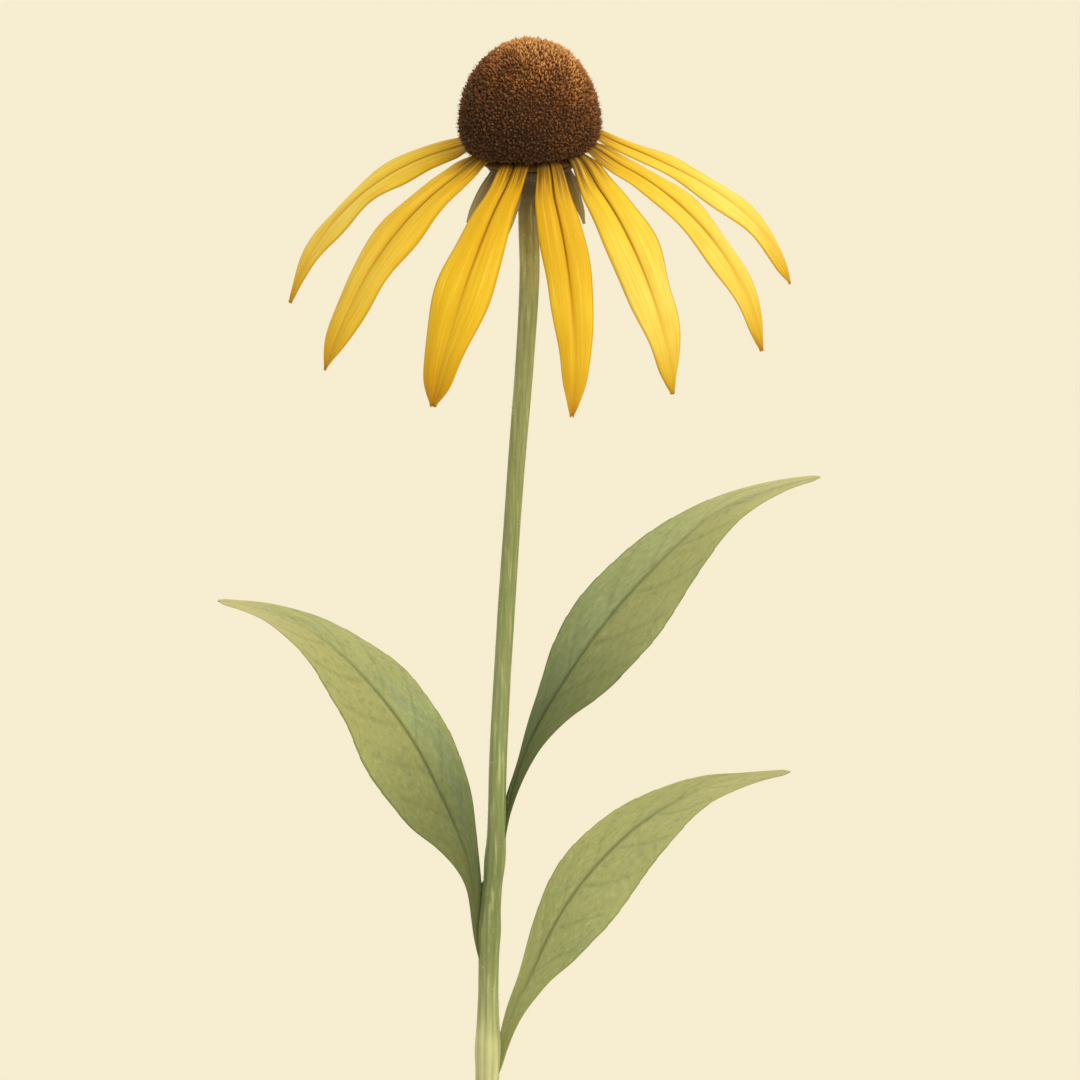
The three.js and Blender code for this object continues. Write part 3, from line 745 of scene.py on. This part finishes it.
involucre = {
    "profile": [
        [0, -14], [2.05, -14], [2.2, -13.6], [2.5, -12.8], [2.9, -12], [3.5, -11.2], [4.5, -10.1],
        [5.8, -9.2], [7.2, -8.3],
        [8.4, -7.5], [8.85, -6.9], [9, -6.5], [8.7, -6.2], [5.2, -6.2], [5.2, -4.7], [0, -4.7],
    ],
    "sides": 64,
    "count": 13, "first": 24,
    "rootRadius": 7, "rootHeight": -7.3,
    "length": [12, 10.5], "width": 3.3, "slope": [-70, -73], "opening": 9,
    "twist": 22,    # of the bracts at the sides
    "twistLength": 0.4,
    "curl": 12, "bend": 0.5, "sweep": 0,
    "edgeDrop": 0.25, "edgeWave": 0.12, "outlineWander": 0.04,
    "shape": [0.8, 1, 1, 0.86, 0.58, 0.14],
    "rows": 26, "columns": 12,
    "upperOffset": 0.35, "thickness": 0.55, "rimThickness": 0.18,
    "ribHeight": 0.16, "ribWidth": 0.22,
    "neckShift": 1.1, "neckFrom": 9, "neckTo": 15,
    "neckTone": 0.19, "neckPales": (9.5, 14),
    "hairs": {
        "Density": 0.5, "Length": 0.5, "Thickness": 0.05, "Curl": 0.3, "Lean": 0.6, "Spread": 0.35,
        "Seed": 21,
    },
    "seed": 21,
}


def makeBractFinish():
    n = Finish("bract", {
        "Roughness": 0.68, "Specular IOR Level": 0.3, "Subsurface Weight": 0.08,
        "Subsurface Radius": (0.8, 0.7, 0.3), "Subsurface Scale": 0.001,
    })
    # The darkest stops, at the roots of the bracts and the top of the receptacle, are the cone's painted
    # shadow
    body = n.ramp(
        n.mark("along"), (0.0, 72, 54, 27), (0.12, 90, 74, 38), (0.35, 146, 133, 86), (0.75, 168, 156, 108),
        (1.0, 178, 166, 116),
    )
    body = n.tint(body, n.ease(n.grain(9.0, 5.0, 4.0, 0.6), 0.4, 0.7), 0.3, 124, 118, 80)
    body = n.tint(body, n.mark("vein"), 0.5, 196, 184, 132)
    return n.coloured(body, n.speckle(n.objectPlace(), 1800.0, 2.0), 0.00012, 0.6)


# The neck under the head leans over to the stem
def onNeck(points):
    points = np.array(points, float)
    lean = rise(-points[:, 2], involucre["neckFrom"], involucre["neckTo"])
    points[:, 0] -= involucre["neckShift"] * lean
    return onHead(points)


def makeInvolucre():
    skin = newSkin()
    random = np.random.default_rng(involucre["seed"])
    finish = makeBractFinish()
    # Painted shadow of the cone: dark under the cone, and as pale as the stem where it meets it
    low, high = involucre["neckPales"]
    tones = involucre["neckTone"] * rise([-z for _, z in involucre["profile"]], low, high)
    tones = np.concatenate([np.repeat(tones[1:-1], involucre["sides"]), tones[[0, -1]]])
    addTurned(skin, involucre["profile"], involucre["sides"], {
        "along": tones, "across": 0.3, "tone": 0.4, "vein": 0.0, "underside": 0.0,
    }, onNeck)
    rows, first = involucre["rows"], involucre["first"]
    share = np.arange(rows + 1)[:, None] / rows
    u = np.linspace(-1, 1, involucre["columns"] + 1)[None, :]
    for i in range(involucre["count"]):
        row = i % 2
        azimuth = first + (360 - 2 * first) * i / (involucre["count"] - 1)
        sideways = sin(radians(azimuth))
        slope = involucre["slope"][row] - involucre["opening"] * sideways
        bract = {
            **involucre, "azimuth": azimuth, "rise": slope + involucre["curl"], "droop": slope,
            "length": involucre["length"][row], "twist": involucre["twist"] * sideways,
        }
        path = droopingPath(bract, rows)
        half = bract["width"] / 2 * along(bract["shape"], share)
        phase = random.uniform(0, 2 * pi, 2)
        edgeHalf = half * (1 + bract["outlineWander"] * np.sin(14 * share + phase[0] + 2 * (u > 0)))
        rib = bell(u * half, bract["ribWidth"]) * fall(share, 0.6, 1)
        lift = -bract["edgeDrop"] * u ** 2 + bract["edgeWave"] * np.sin(8 * share + phase[1]) * u ** 2
        lift = lift + bract["upperOffset"] + bract["ribHeight"] * rib
        thickness = thicknessOf(bract, u) + bract["ribHeight"] * rib
        marks = {"tone": random.random(), "vein": rib}
        addBlade(skin, path, share, u, edgeHalf, lift, thickness, marks, onHead)
    piece = pieceFromSkin("involucre_detailed", skin, finish)
    return piece, hairsOn(piece, "involucre_hairs", involucre["hairs"], hairFinish)


def makeHairFinish():
    n = Finish("plant hair", {"Roughness": 0.5, "Specular IOR Level": 0.4, "Sheen Weight": 0.3})
    return n.coloured(n.blend(n.mark("tone"), paint(176, 170, 120), paint(224, 220, 184)))


hairFinish = makeHairFinish()
for part in makeInvolucre():
    standFor(part, "involucre")


# Stem

stem = {
    "route": [
        [-0.6, 0.6, 6.3], [1.4, 0.8, 50], [3.6, 0.5, 96], [5.4, 0, 134], [5.9, -0.2, 147],
        [6.5, -0.7, 181], [7.8, -0.9, 198], [8.2, -1.1, 215], [9.7, -1.3, 243], [12, -1.2, 277],
        [13.6, -0.9, 297], [14.6, -0.4, 315],
    ],
    "topOnHead": [-19.5, -13.0],
    # As [height, radius]
    "radii": [
        [0, 2.5], [147, 2.35], [156, 2.4], [166, 2.05], [181, 2.1], [190, 1.9], [196, 2], [208, 1.75],
        [243, 1.7], [280, 1.7], [305, 1.85], [318, 1.95], [328, 2.1], [340, 2.1],
    ],
    "joints": [153.5, 179, 194], "jointSwell": 0.22, "jointReach": 3.2,
    "steps": 300, "sides": 54,
    "ribs": 9.0, "ribDepth": 0.028,
    "wander": 0.025,
    "hairs": {
        "Density": 0.35, "Length": 0.62, "Thickness": 0.06, "Curl": 0.25, "Lean": 0.5, "Spread": 0.35,
        "Seed": 31,
    },
}


def makeStemFinish():
    n = Finish("stem skin", {
        "Roughness": 0.55, "Specular IOR Level": 0.35, "Subsurface Weight": 0.08,
        "Subsurface Radius": (0.7, 0.8, 0.3), "Subsurface Scale": 0.0015,
    })
    place = n.objectPlace()
    height = n.calc("DIVIDE", n.add("ShaderNodeSeparateXYZ", {"Vector": place}, "Z"), 0.34)
    stretched = n.add("ShaderNodeVectorMath", {0: place, 1: (1.0, 1.0, 0.07)}, operation="MULTIPLY")
    streaks = n.speckle(stretched, 1500.0, 4.0, 0.6)
    # The last stops darken the very top of the stem, under the head: painted shade
    body = n.ramp(
        n.shifted(height, n.speckle(place, 60.0, 3.0), 0.05), (0.0, 168, 172, 116), (0.3, 184, 187, 134),
        (0.462, 188, 190, 138), (0.478, 157, 163, 109), (0.505, 130, 140, 87), (0.55, 111, 123, 73),
        (0.645, 136, 148, 95), (0.76, 127, 136, 82), (0.864, 142, 147, 92), (0.912, 145, 147, 95),
        (0.937, 166, 160, 98), (0.952, 142, 126, 71), (0.966, 114, 94, 48), (0.98, 84, 67, 34),
    )
    body = n.tint(body, n.ease(streaks, 0.5, 0.75), 0.5, 206, 206, 150)
    body = n.tint(body, n.ease(streaks, 0.48, 0.25), 0.5, 104, 112, 58)
    body = n.tint(body, n.ease(n.mark("rib"), 0.1, -1.0), 0.22, 92, 100, 50)
    return n.coloured(body, streaks, 0.00015, 0.5)


def stemRadius(heights):
    return np.interp(heights, *np.array(stem["radii"]).T)


def makeStem():
    top = [list(onNeck([[0, 0, z]])[0]) for z in stem["topOnHead"]]
    points, _, _ = alongRoute(stem["route"] + top, stem["steps"])
    heights = points[:, 2]
    radius = stemRadius(heights)
    for joint in stem["joints"]:
        radius = radius + stem["jointSwell"] * bell(heights - joint, stem["jointReach"])
    radius = radius * (1 + stem["wander"] * np.sin(heights / 7.3) * np.sin(heights / 19))
    curve = bpy.data.curves.new("stem_line", "CURVE")
    curve.dimensions = "3D"
    line = curve.splines.new("POLY")
    line.points.add(len(points) - 1)
    for point, at, r in zip(line.points, points, radius):
        point.co = (*(at * mm), 1)
        point.radius = r * mm
    guide = pieceOf("stem_line", curve)
    piece = grown("stem_detailed", guide, stalkTree, {
        "Sides": stem["sides"], "Ribs": stem["ribs"], "Rib depth": stem["ribDepth"],
        "Material": makeStemFinish(),
    })
    putAway(guide)
    return piece, hairsOn(piece, "stem_hairs", stem["hairs"], hairFinish)


for part in makeStem():
    standFor(part, "stem")


# Leaves

leaves = {
    "rows": 170, "columns": 44,
    "fold": 9,
    "wave": 0.7, "waves": 3.2, "waveOffset": 2,
    "rib": 0.7, "ribTaper": 0.7, "ribWidth": 1.0,
    "stalkExtra": 0.7, "stalkShare": 0.16,
    "upperOffset": 0.35, "thickness": 0.5, "rimThickness": 0.2,
    "grooveDepth": 0.26, "grooveWidth": 0.3,
    "veins": 8, "veinAhead": 0.17, "veinWidth": 0.6, "veinDepth": 0.06, "veinRise": 0.12,
    "veinColour": 0.34, "pucker": 0.09,
    "teeth": 9, "toothSize": 0.12, "outlineWander": 0.012,
    "diveRows": 14,
    # Direction that the blade faces, as [share, x, y, z] for a leaf on the right
    "face": [[0, -0.55, -0.83, 0], [0.22, -0.5, -0.85, 0.1], [0.6, -0.3, -0.92, 0.15], [1, 0, -0.8, 0.5]],
    "shadeAt": [0.12, 0.3, 0.5, 1],
    "seed": 41,
}
leaves["each"] = {
    "leaf_left": {
        "route": [
            [3.7, -0.9, 181], [2.8, -1.3, 190], [0.9, -2, 197.7], [-3.4, -4, 208.9], [-9, -7, 221.2],
            [-17.2, -10, 233.5], [-27, -13, 244], [-36.8, -15, 249.6], [-47, -16, 252.4],
        ],
        "side": -1,
        "rightHalf": [1.4, 2.1, 3.7, 6.1, 7.2, 7.4, 7, 5.2, 3.2, 1.7, 0.5],
        "leftHalf": [1.1, 2.1, 5.5, 9.6, 11.6, 11.2, 9, 6.9, 4.4, 1.8, 0.5],
        "wavePhase": 0.6,
        "dive": 12, "intoStem": [1.6, 0.2],
        "warm": [0.75, 0.3],
        "shade": [[0.86, 0.72, 0.5, 0.5], [0.9, 0.76, 0.26, 0.46]],
    },
    "leaf_upper_right": {
        "route": [
            [8.4, -0.6, 195], [9.8, -0.6, 203.4], [12.7, 0.3, 213.7], [15.7, 1.6, 220.8],
            [21.7, 4, 230.7], [30.8, 8, 242.8], [43, 12, 255.3], [53.1, 15, 263.3],
            [65.3, 18, 267.6], [73.5, 19, 269.2],
        ],
        "side": 1,
        "rightHalf": [1, 1.2, 2.8, 5.4, 9.4, 10.7, 9.3, 7, 4.5, 2, 0.5],
        "leftHalf": [1, 1, 0.9, 2.7, 5.8, 7.2, 6.5, 5.2, 2.7, 1.4, 0.5],
        "wavePhase": 2.1,
        "dive": 8, "intoStem": [-2.4, 0],
        "warm": [0.15, 0.55],
        "shade": [[1, 0.96, 0.54, 0.34], [0.97, 0.9, 0.62, 0.5]],
    },
    "leaf_lower_right": {
        "route": [
            [9, -0.4, 153.5], [11.3, -1.8, 162.5], [14.7, -4, 170.2], [19.1, -7, 181.3],
            [23.7, -10, 190.1], [28.7, -13, 197.5], [36.6, -17, 206.5], [48.4, -22, 215.2],
            [57.2, -25, 218.5], [66, -28, 220.7],
        ],
        "side": 1,
        "rightHalf": [1.2, 2.7, 4.2, 8, 9.7, 9.8, 8.2, 6.4, 3.7, 1.8, 0.5],
        "leftHalf": [1.2, 1.4, 2.5, 4.1, 5.6, 6, 5.6, 4.2, 2.7, 1.1, 0.5],
        "wavePhase": 4.4,
        "dive": 10, "intoStem": [-1.2, -0.1],
        "warm": [0.45, 0.4],
        "shade": [[0.2, 0.2, 0.17, 0.5], [0.1, 0.1, 0.15, 0.5]],
    },
}


def makeLeafFinish():
    n = Finish("leaf skin", {
        "Roughness": 0.55, "Specular IOR Level": 0.35, "Subsurface Weight": 0.15,
        "Subsurface Radius": (0.8, 0.9, 0.3), "Subsurface Scale": 0.0014,
    })
    place = n.shifted(n.mark("along"), n.grain(1.6, 5.0), 0.16)
    cool = n.ramp(
        place, (0.0, 142, 150, 92), (0.2, 146, 158, 104), (0.5, 160, 172, 120), (0.75, 178, 186, 130),
        (0.92, 204, 202, 144), (1.0, 214, 206, 148),
    )
    warm = n.ramp(
        place, (0.0, 154, 158, 92), (0.2, 166, 168, 98), (0.5, 188, 186, 114), (0.75, 200, 196, 124),
        (0.92, 212, 204, 138), (1.0, 216, 206, 142),
    )
    body = n.blend(n.mark("warmth"), cool, warm)
    body = n.tint(body, n.ease(n.grain(2.2, 3.4, 2.0), 0.52, 0.72), 0.4, 138, 160, 128)
    grain = n.grain(14.0, 60.0, 4.0, 0.6)
    body = n.tint(body, n.ease(grain, 0.5, 0.75), 0.34, 216, 214, 158)
    body = n.tint(body, n.ease(grain, 0.5, 0.25), 0.42, 116, 130, 76)
    body = n.tint(body, n.ease(n.calc("ABSOLUTE", n.mark("across")), 0.94, 1.0), 0.5, 128, 138, 80)
    body = n.tint(body, n.mark("underside"), 0.35, 186, 190, 146)
    body = n.tint(body, n.mark("vein"), 0.7, 104, 116, 62)
    # Painted shade: each leaf and half is darkened by its own amount, and some leaves darken towards the
    # stalk
    shadedCopy = n.blend(1.0, body, paint(130, 141, 133), "MULTIPLY")
    body = n.blend(n.mark("shade"), body, shadedCopy)
    return n.coloured(body, n.speckle(n.objectPlace(), 1400.0, 3.0), 0.00018, 0.5)


# How near a point is to a side vein, from 0 to 1
def sideVeins(share, u, length):
    place = (share - leaves["veinAhead"] * np.abs(u) ** 1.35) * leaves["veins"] + np.where(u < 0, 0, 0.45)
    offset = (place - np.round(place)) / leaves["veins"] * length
    fade = rise(np.abs(u), 0.02, 0.1) * fall(np.abs(u), 0.72, 0.97)
    fade = fade * rise(share, 0.15, 0.26) * fall(share, 0.82, 0.95)
    return bell(offset, leaves["veinWidth"]) * fade, place


def makeLeaf(name, leaf, finish, random):
    rows = leaf["rows"]
    at, ahead, length = alongRoute(leaf["route"], rows)
    share = np.arange(rows + 1)[:, None] / rows
    places, *face = np.array(leaf["face"]).T
    facing = np.stack([np.interp(share[:, 0], places, values) for values in face], 1) * [leaf["side"], 1, 1]
    # The stalk's root dives into the stem
    dive = leaf["diveRows"]
    sunk = (np.arange(dive, 0, -1) / dive)[:, None]
    inward = np.array([*leaf["intoStem"], 0])
    at = np.vstack([at[0] - ahead[0] * sunk * leaf["dive"] + inward * sunk ** 2, at])
    ahead = unit(np.gradient(at, axis=0))
    facing = np.vstack([np.repeat(facing[:1], dive, 0), facing])
    share = np.vstack([np.zeros((dive, 1)), share])
    up = unit(facing - ahead * np.sum(facing * ahead, 1, keepdims=True))

    u = placesAcross(leaf["columns"])
    half = np.where(u < 0, along(leaf["leftHalf"], share), along(leaf["rightHalf"], share))
    bladeShare = rise(share, 0, leaf["stalkShare"] * 2)
    stalk = fall(share, 0, leaf["stalkShare"])
    turn = leaf["waves"] * 2 * pi * share + leaf["wavePhase"]
    wave = np.sin(turn + np.where(u < 0, 0, leaf["waveOffset"]))
    lift = np.abs(u) * half * sin(radians(leaf["fold"]))
    lift = lift + leaf["wave"] * wave * u * u * bladeShare * (1 - share)
    veins, place = sideVeins(share, u, length)
    groove = bell(u * half, leaf["grooveWidth"]) * bladeShare * fall(share, 0.5, 0.9)
    swell = np.cos(2 * pi * place) * np.abs(u) * (1 - np.abs(u)) * 4
    lift = lift - leaf["pucker"] * swell * bladeShare * (1 - share)
    lift = lift - leaf["grooveDepth"] * groove - leaf["veinDepth"] * veins + leaf["upperOffset"]

    rib = leaf["rib"] * (1 - leaf["ribTaper"] * share) * bell(u * half, leaf["ribWidth"]) * bladeShare
    rounded = (leaf["thickness"] + leaf["stalkExtra"]) * np.sqrt(np.maximum(0.02, 1 - u ** 2))
    thickness = thicknessOf(leaf, u) * (1 - stalk) + rounded * stalk + rib + leaf["veinRise"] * veins
    tooth = (share * leaf["teeth"] * 2 + 0.7 * np.sin(11 * share) + np.where(u < 0, 0.3, 0)) % 1
    ragged = leaf["toothSize"] * (tooth - 0.5) * rise(share, 0.25, 0.4) * fall(share, 0.75, 0.9)
    wander = leaf["outlineWander"] * half * np.sin(31 * share + random.uniform(0, 6) + 2 * (u > 0))
    edgeHalf = half + (ragged + wander) * np.abs(u) ** 3
    edgeHalf = edgeHalf * (1 - 0.7 * rise(share, 0.985, 1))
    rightSide = rise(u, -0.15, 0.15)
    shades = [np.interp(share, leaf["shadeAt"], values) for values in leaf["shade"]]
    marks = {
        "tone": random.random(), "vein": np.clip(groove + leaf["veinColour"] * veins, 0, 1),
        "warmth": leaf["warm"][0] * (1 - rightSide) + leaf["warm"][1] * rightSide,
        "shade": shades[0] * (1 - rightSide) + shades[1] * rightSide,
    }
    skin = newSkin()
    addBlade(skin, (at, ahead, np.cross(ahead, up), up), share, u, edgeHalf, lift, thickness, marks)
    return pieceFromSkin(name + "_detailed", skin, finish)


leafFinish = makeLeafFinish()
leafRandom = np.random.default_rng(leaves["seed"])
for leafName, leafValues in leaves["each"].items():
    piece = makeLeaf(leafName, {**leaves, **leafValues}, leafFinish, leafRandom)
    standFor(piece, leafName)


# Vase and water

vase = {
    "foot": [[0, 0.9], [16, 0.9], [17.2, 0.1], [17.6, 0], [23.3, 0], [23.9, 0.35]],
    "outline": [
        [24.5, 1.2], [31, 16], [36, 45], [32, 76], [18.5, 99], [12.2, 114], [11.6, 127], [12.4, 136],
    ],
    "outlineSteps": 110,
    "wall": 3.5, "floor": 6, "mouthRadius": 8.8,
    "lip": [
        [12.75, 137.4], [12.9, 138.6], [12.75, 139.4], [12.2, 139.85], [11.2, 140], [10.2, 139.9],
        [9.4, 139.5], [8.95, 138.8], [8.8, 137.6],
    ],
    "insideRows": 90, "sides": 144,
    "ringHeight": 0.07, "ringEvery": 4.6, "ringsStart": (8, 20), "ringsEnd": (122, 134),
    "water": 112, "gap": 0.3, "meniscus": 0.8, "meniscusReach": 0.12,
    # Rings of the water's surface, as shares of the way from the wall to the stem
    "surfaceAt": [0.06, 0.14, 0.26, 0.5, 0.74, 0.86, 0.94],
    "waterSides": 72, "waterRows": 40, "routeSteps": 200,
}


def makeGlazeFinish():
    n = Finish("cream glaze", {
        "Roughness": 0.32, "Specular IOR Level": 0.5, "Coat Weight": 0.25, "Coat Roughness": 0.2,
    })
    place = n.objectPlace()
    height = n.add("ShaderNodeSeparateXYZ", {"Vector": place}, "Z")
    cloud = n.speckle(place, 38.0, 4.0)
    body = n.blend(n.ease(cloud, 0.35, 0.7), paint(214, 203, 180), paint(229, 220, 201))
    # Iron specks of two sizes
    for scale, low, high, *colour in ((520.0, 0.12, 0.2, 118, 84, 56), (1300.0, 0.14, 0.24, 160, 130, 96)):
        cells = n.add("ShaderNodeTexVoronoi", {"Vector": place, "Scale": scale}).node.outputs
        chosen = n.ease(n.add("ShaderNodeSeparateColor", {"Color": cells["Color"]}), 0.72, 0.78)
        body = n.tint(body, n.times(n.ease(cells["Distance"], high, low), chosen), 0.8, *colour)
    lipShare = n.ease(n.calc("MULTIPLY_ADD", cloud, 0.004, height), 0.1385, 0.142)
    body = n.tint(body, lipShare, 0.75, 172, 132, 88)
    wavy = n.calc("MULTIPLY_ADD", n.speckle(place, 60.0, 2.0), 0.0035, height)
    bare = n.ease(wavy, 0.0052, 0.0046)
    clay = n.blend(n.speckle(place, 900.0, 3.0), paint(150, 118, 84), paint(188, 156, 120))
    n.feed(n.shader["Roughness"], n.calc("MULTIPLY_ADD", bare, 0.5, 0.32))
    bump = n.calc("ADD", n.speckle(place, 420.0, 2.0), n.times(n.speckle(place, 2400.0, 2.0), bare))
    return n.coloured(n.blend(bare, body, clay), bump, 0.00025, 0.25)


def vaseOutside():
    share = np.linspace(0, 1, vase["outlineSteps"] * 4)
    fine = np.stack([along(values, share) for values in np.array(vase["outline"]).T], 1)
    return evenly(fine, vase["outlineSteps"])[0]


def hollowAt(heights):
    outside = vaseOutside()
    inside = np.maximum(vase["mouthRadius"], outside[:, 0] - vase["wall"])
    low = vase["floor"] + vase["wall"]
    radius = np.interp(heights, outside[:, 1], inside)
    corner = np.sqrt(np.clip(1 - ((low - heights) / vase["wall"]) ** 2, 0, 1))
    return np.where(heights < low, radius - vase["wall"] * (1 - corner), radius)


def makeVase():
    outside = vaseOutside()
    rings = np.sin(2 * pi * outside[:, 1] / vase["ringEvery"]) * vase["ringHeight"]
    rings *= rise(outside[:, 1], *vase["ringsStart"]) * fall(outside[:, 1], *vase["ringsEnd"])
    outside[:, 0] += rings
    heights = np.linspace(vase["lip"][-1][1] - 1, vase["floor"] + 0.02, vase["insideRows"])
    inside = np.stack([hollowAt(heights), heights], 1)
    outline = np.concatenate([vase["foot"], outside, vase["lip"], inside, [[0, vase["floor"]]]])
    skin = newSkin()
    addTurned(skin, outline, vase["sides"], {})
    return pieceFromSkin("vase_stoneware", skin, makeGlazeFinish())


def makeWater():
    n = Finish("clear water", {
        "Base Color": paint(236, 244, 238), "Roughness": 0.02, "IOR": 1.333, "Transmission Weight": 1.0,
    })
    n.relief(n.speckle(n.objectPlace(), 140.0, 1.0), 0.0002, 0.08)
    points, _, _ = alongRoute(stem["route"], vase["routeSteps"])
    heights = np.linspace(vase["floor"] + vase["gap"], vase["water"], vase["waterRows"])
    middle = np.stack([np.interp(heights, points[:, 2], points[:, axis]) for axis in (0, 1)], 1)
    radius = stemRadius(heights) + vase["gap"]
    circle = ringsOf([[1, 0]], vase["waterSides"])[0]

    def ring(centre, size, height):
        return circle * size + [*centre, height]

    outer = [ring([0, 0], hollowAt(z) - vase["gap"], z) for z in heights]
    inner = [ring(m, r, z) for m, r, z in zip(middle, radius, heights)]
    # The surface curls up where it meets the wall and the stem
    surface = []
    for share in vase["surfaceAt"]:
        rim = outer[-1] * (1 - share) + inner[-1] * share
        rim[:, 2] -= vase["meniscus"] * (1 - bell(min(share, 1 - share), vase["meniscusReach"]))
        surface.append(rim)
    loop = outer + surface + inner[::-1]
    return makePiece("water_fill", np.vstack(loop), loopFaces(len(loop), len(circle)), material=n.material)


standFor(makeVase(), "vase")
standFor(makeWater(), "water")


# Stage: a pale floor, soft light and the camera

stage = {
    "floorHalf": 9.0,
    "floorColours": [paint(211, 208, 192), paint(214, 210, 194)],
    "worldColour": paint(255, 250, 240), "worldStrength": 0.95,
    "sunStrength": 1.95, "sunColour": paint(255, 246, 228), "sunAngle": 24, "sunFrom": (0.6, -0.65, 0.95),
    "cameraTarget": (16.7, 0, 260.8), "cameraDistance": 1200, "cameraElevation": 14,
    "cameraLens": 200, "cameraSensor": 36, "cameraReach": 50,
}


def makeStage():
    half = stage["floorHalf"] / mm
    corners = [[-half, -half, 0], [half, -half, 0], [half, half, 0], [-half, half, 0]]
    n = Finish("pale paper floor", {"Roughness": 0.9, "Specular IOR Level": 0.1})
    material = n.coloured(n.blend(n.speckle(n.objectPlace(), 3.0, 4.0), *stage["floorColours"]))
    makePiece("floor", corners, [(0, 1, 2, 3)], material=material)

    world = bpy.data.worlds.new("studio")
    world.use_nodes = True
    background = world.node_tree.nodes["Background"]
    background.inputs["Color"].default_value = stage["worldColour"]
    background.inputs["Strength"].default_value = stage["worldStrength"]
    scene.world = world

    sun = bpy.data.lights.new("window", "SUN")
    sun.energy = stage["sunStrength"]
    sun.color = stage["sunColour"][:3]
    sun.angle = radians(stage["sunAngle"])
    lamp = pieceOf("window", sun)
    lamp.rotation_euler = Vector(stage["sunFrom"]).to_track_quat("Z", "Y").to_euler()

    camera = pieceOf("camera", bpy.data.cameras.new("camera"))
    camera.data.lens = stage["cameraLens"]
    camera.data.sensor_width = stage["cameraSensor"]
    elevation = radians(stage["cameraElevation"])
    back = Vector((0, -cos(elevation), sin(elevation)))
    camera.location = (Vector(stage["cameraTarget"]) + back * stage["cameraDistance"]) * mm
    camera.rotation_euler = back.to_track_quat("Z", "Y").to_euler()
    camera.data.clip_end = stage["cameraReach"]
    scene.camera = camera
    scene.view_settings.view_transform = "Standard"
    print("stage ready")


makeStage()
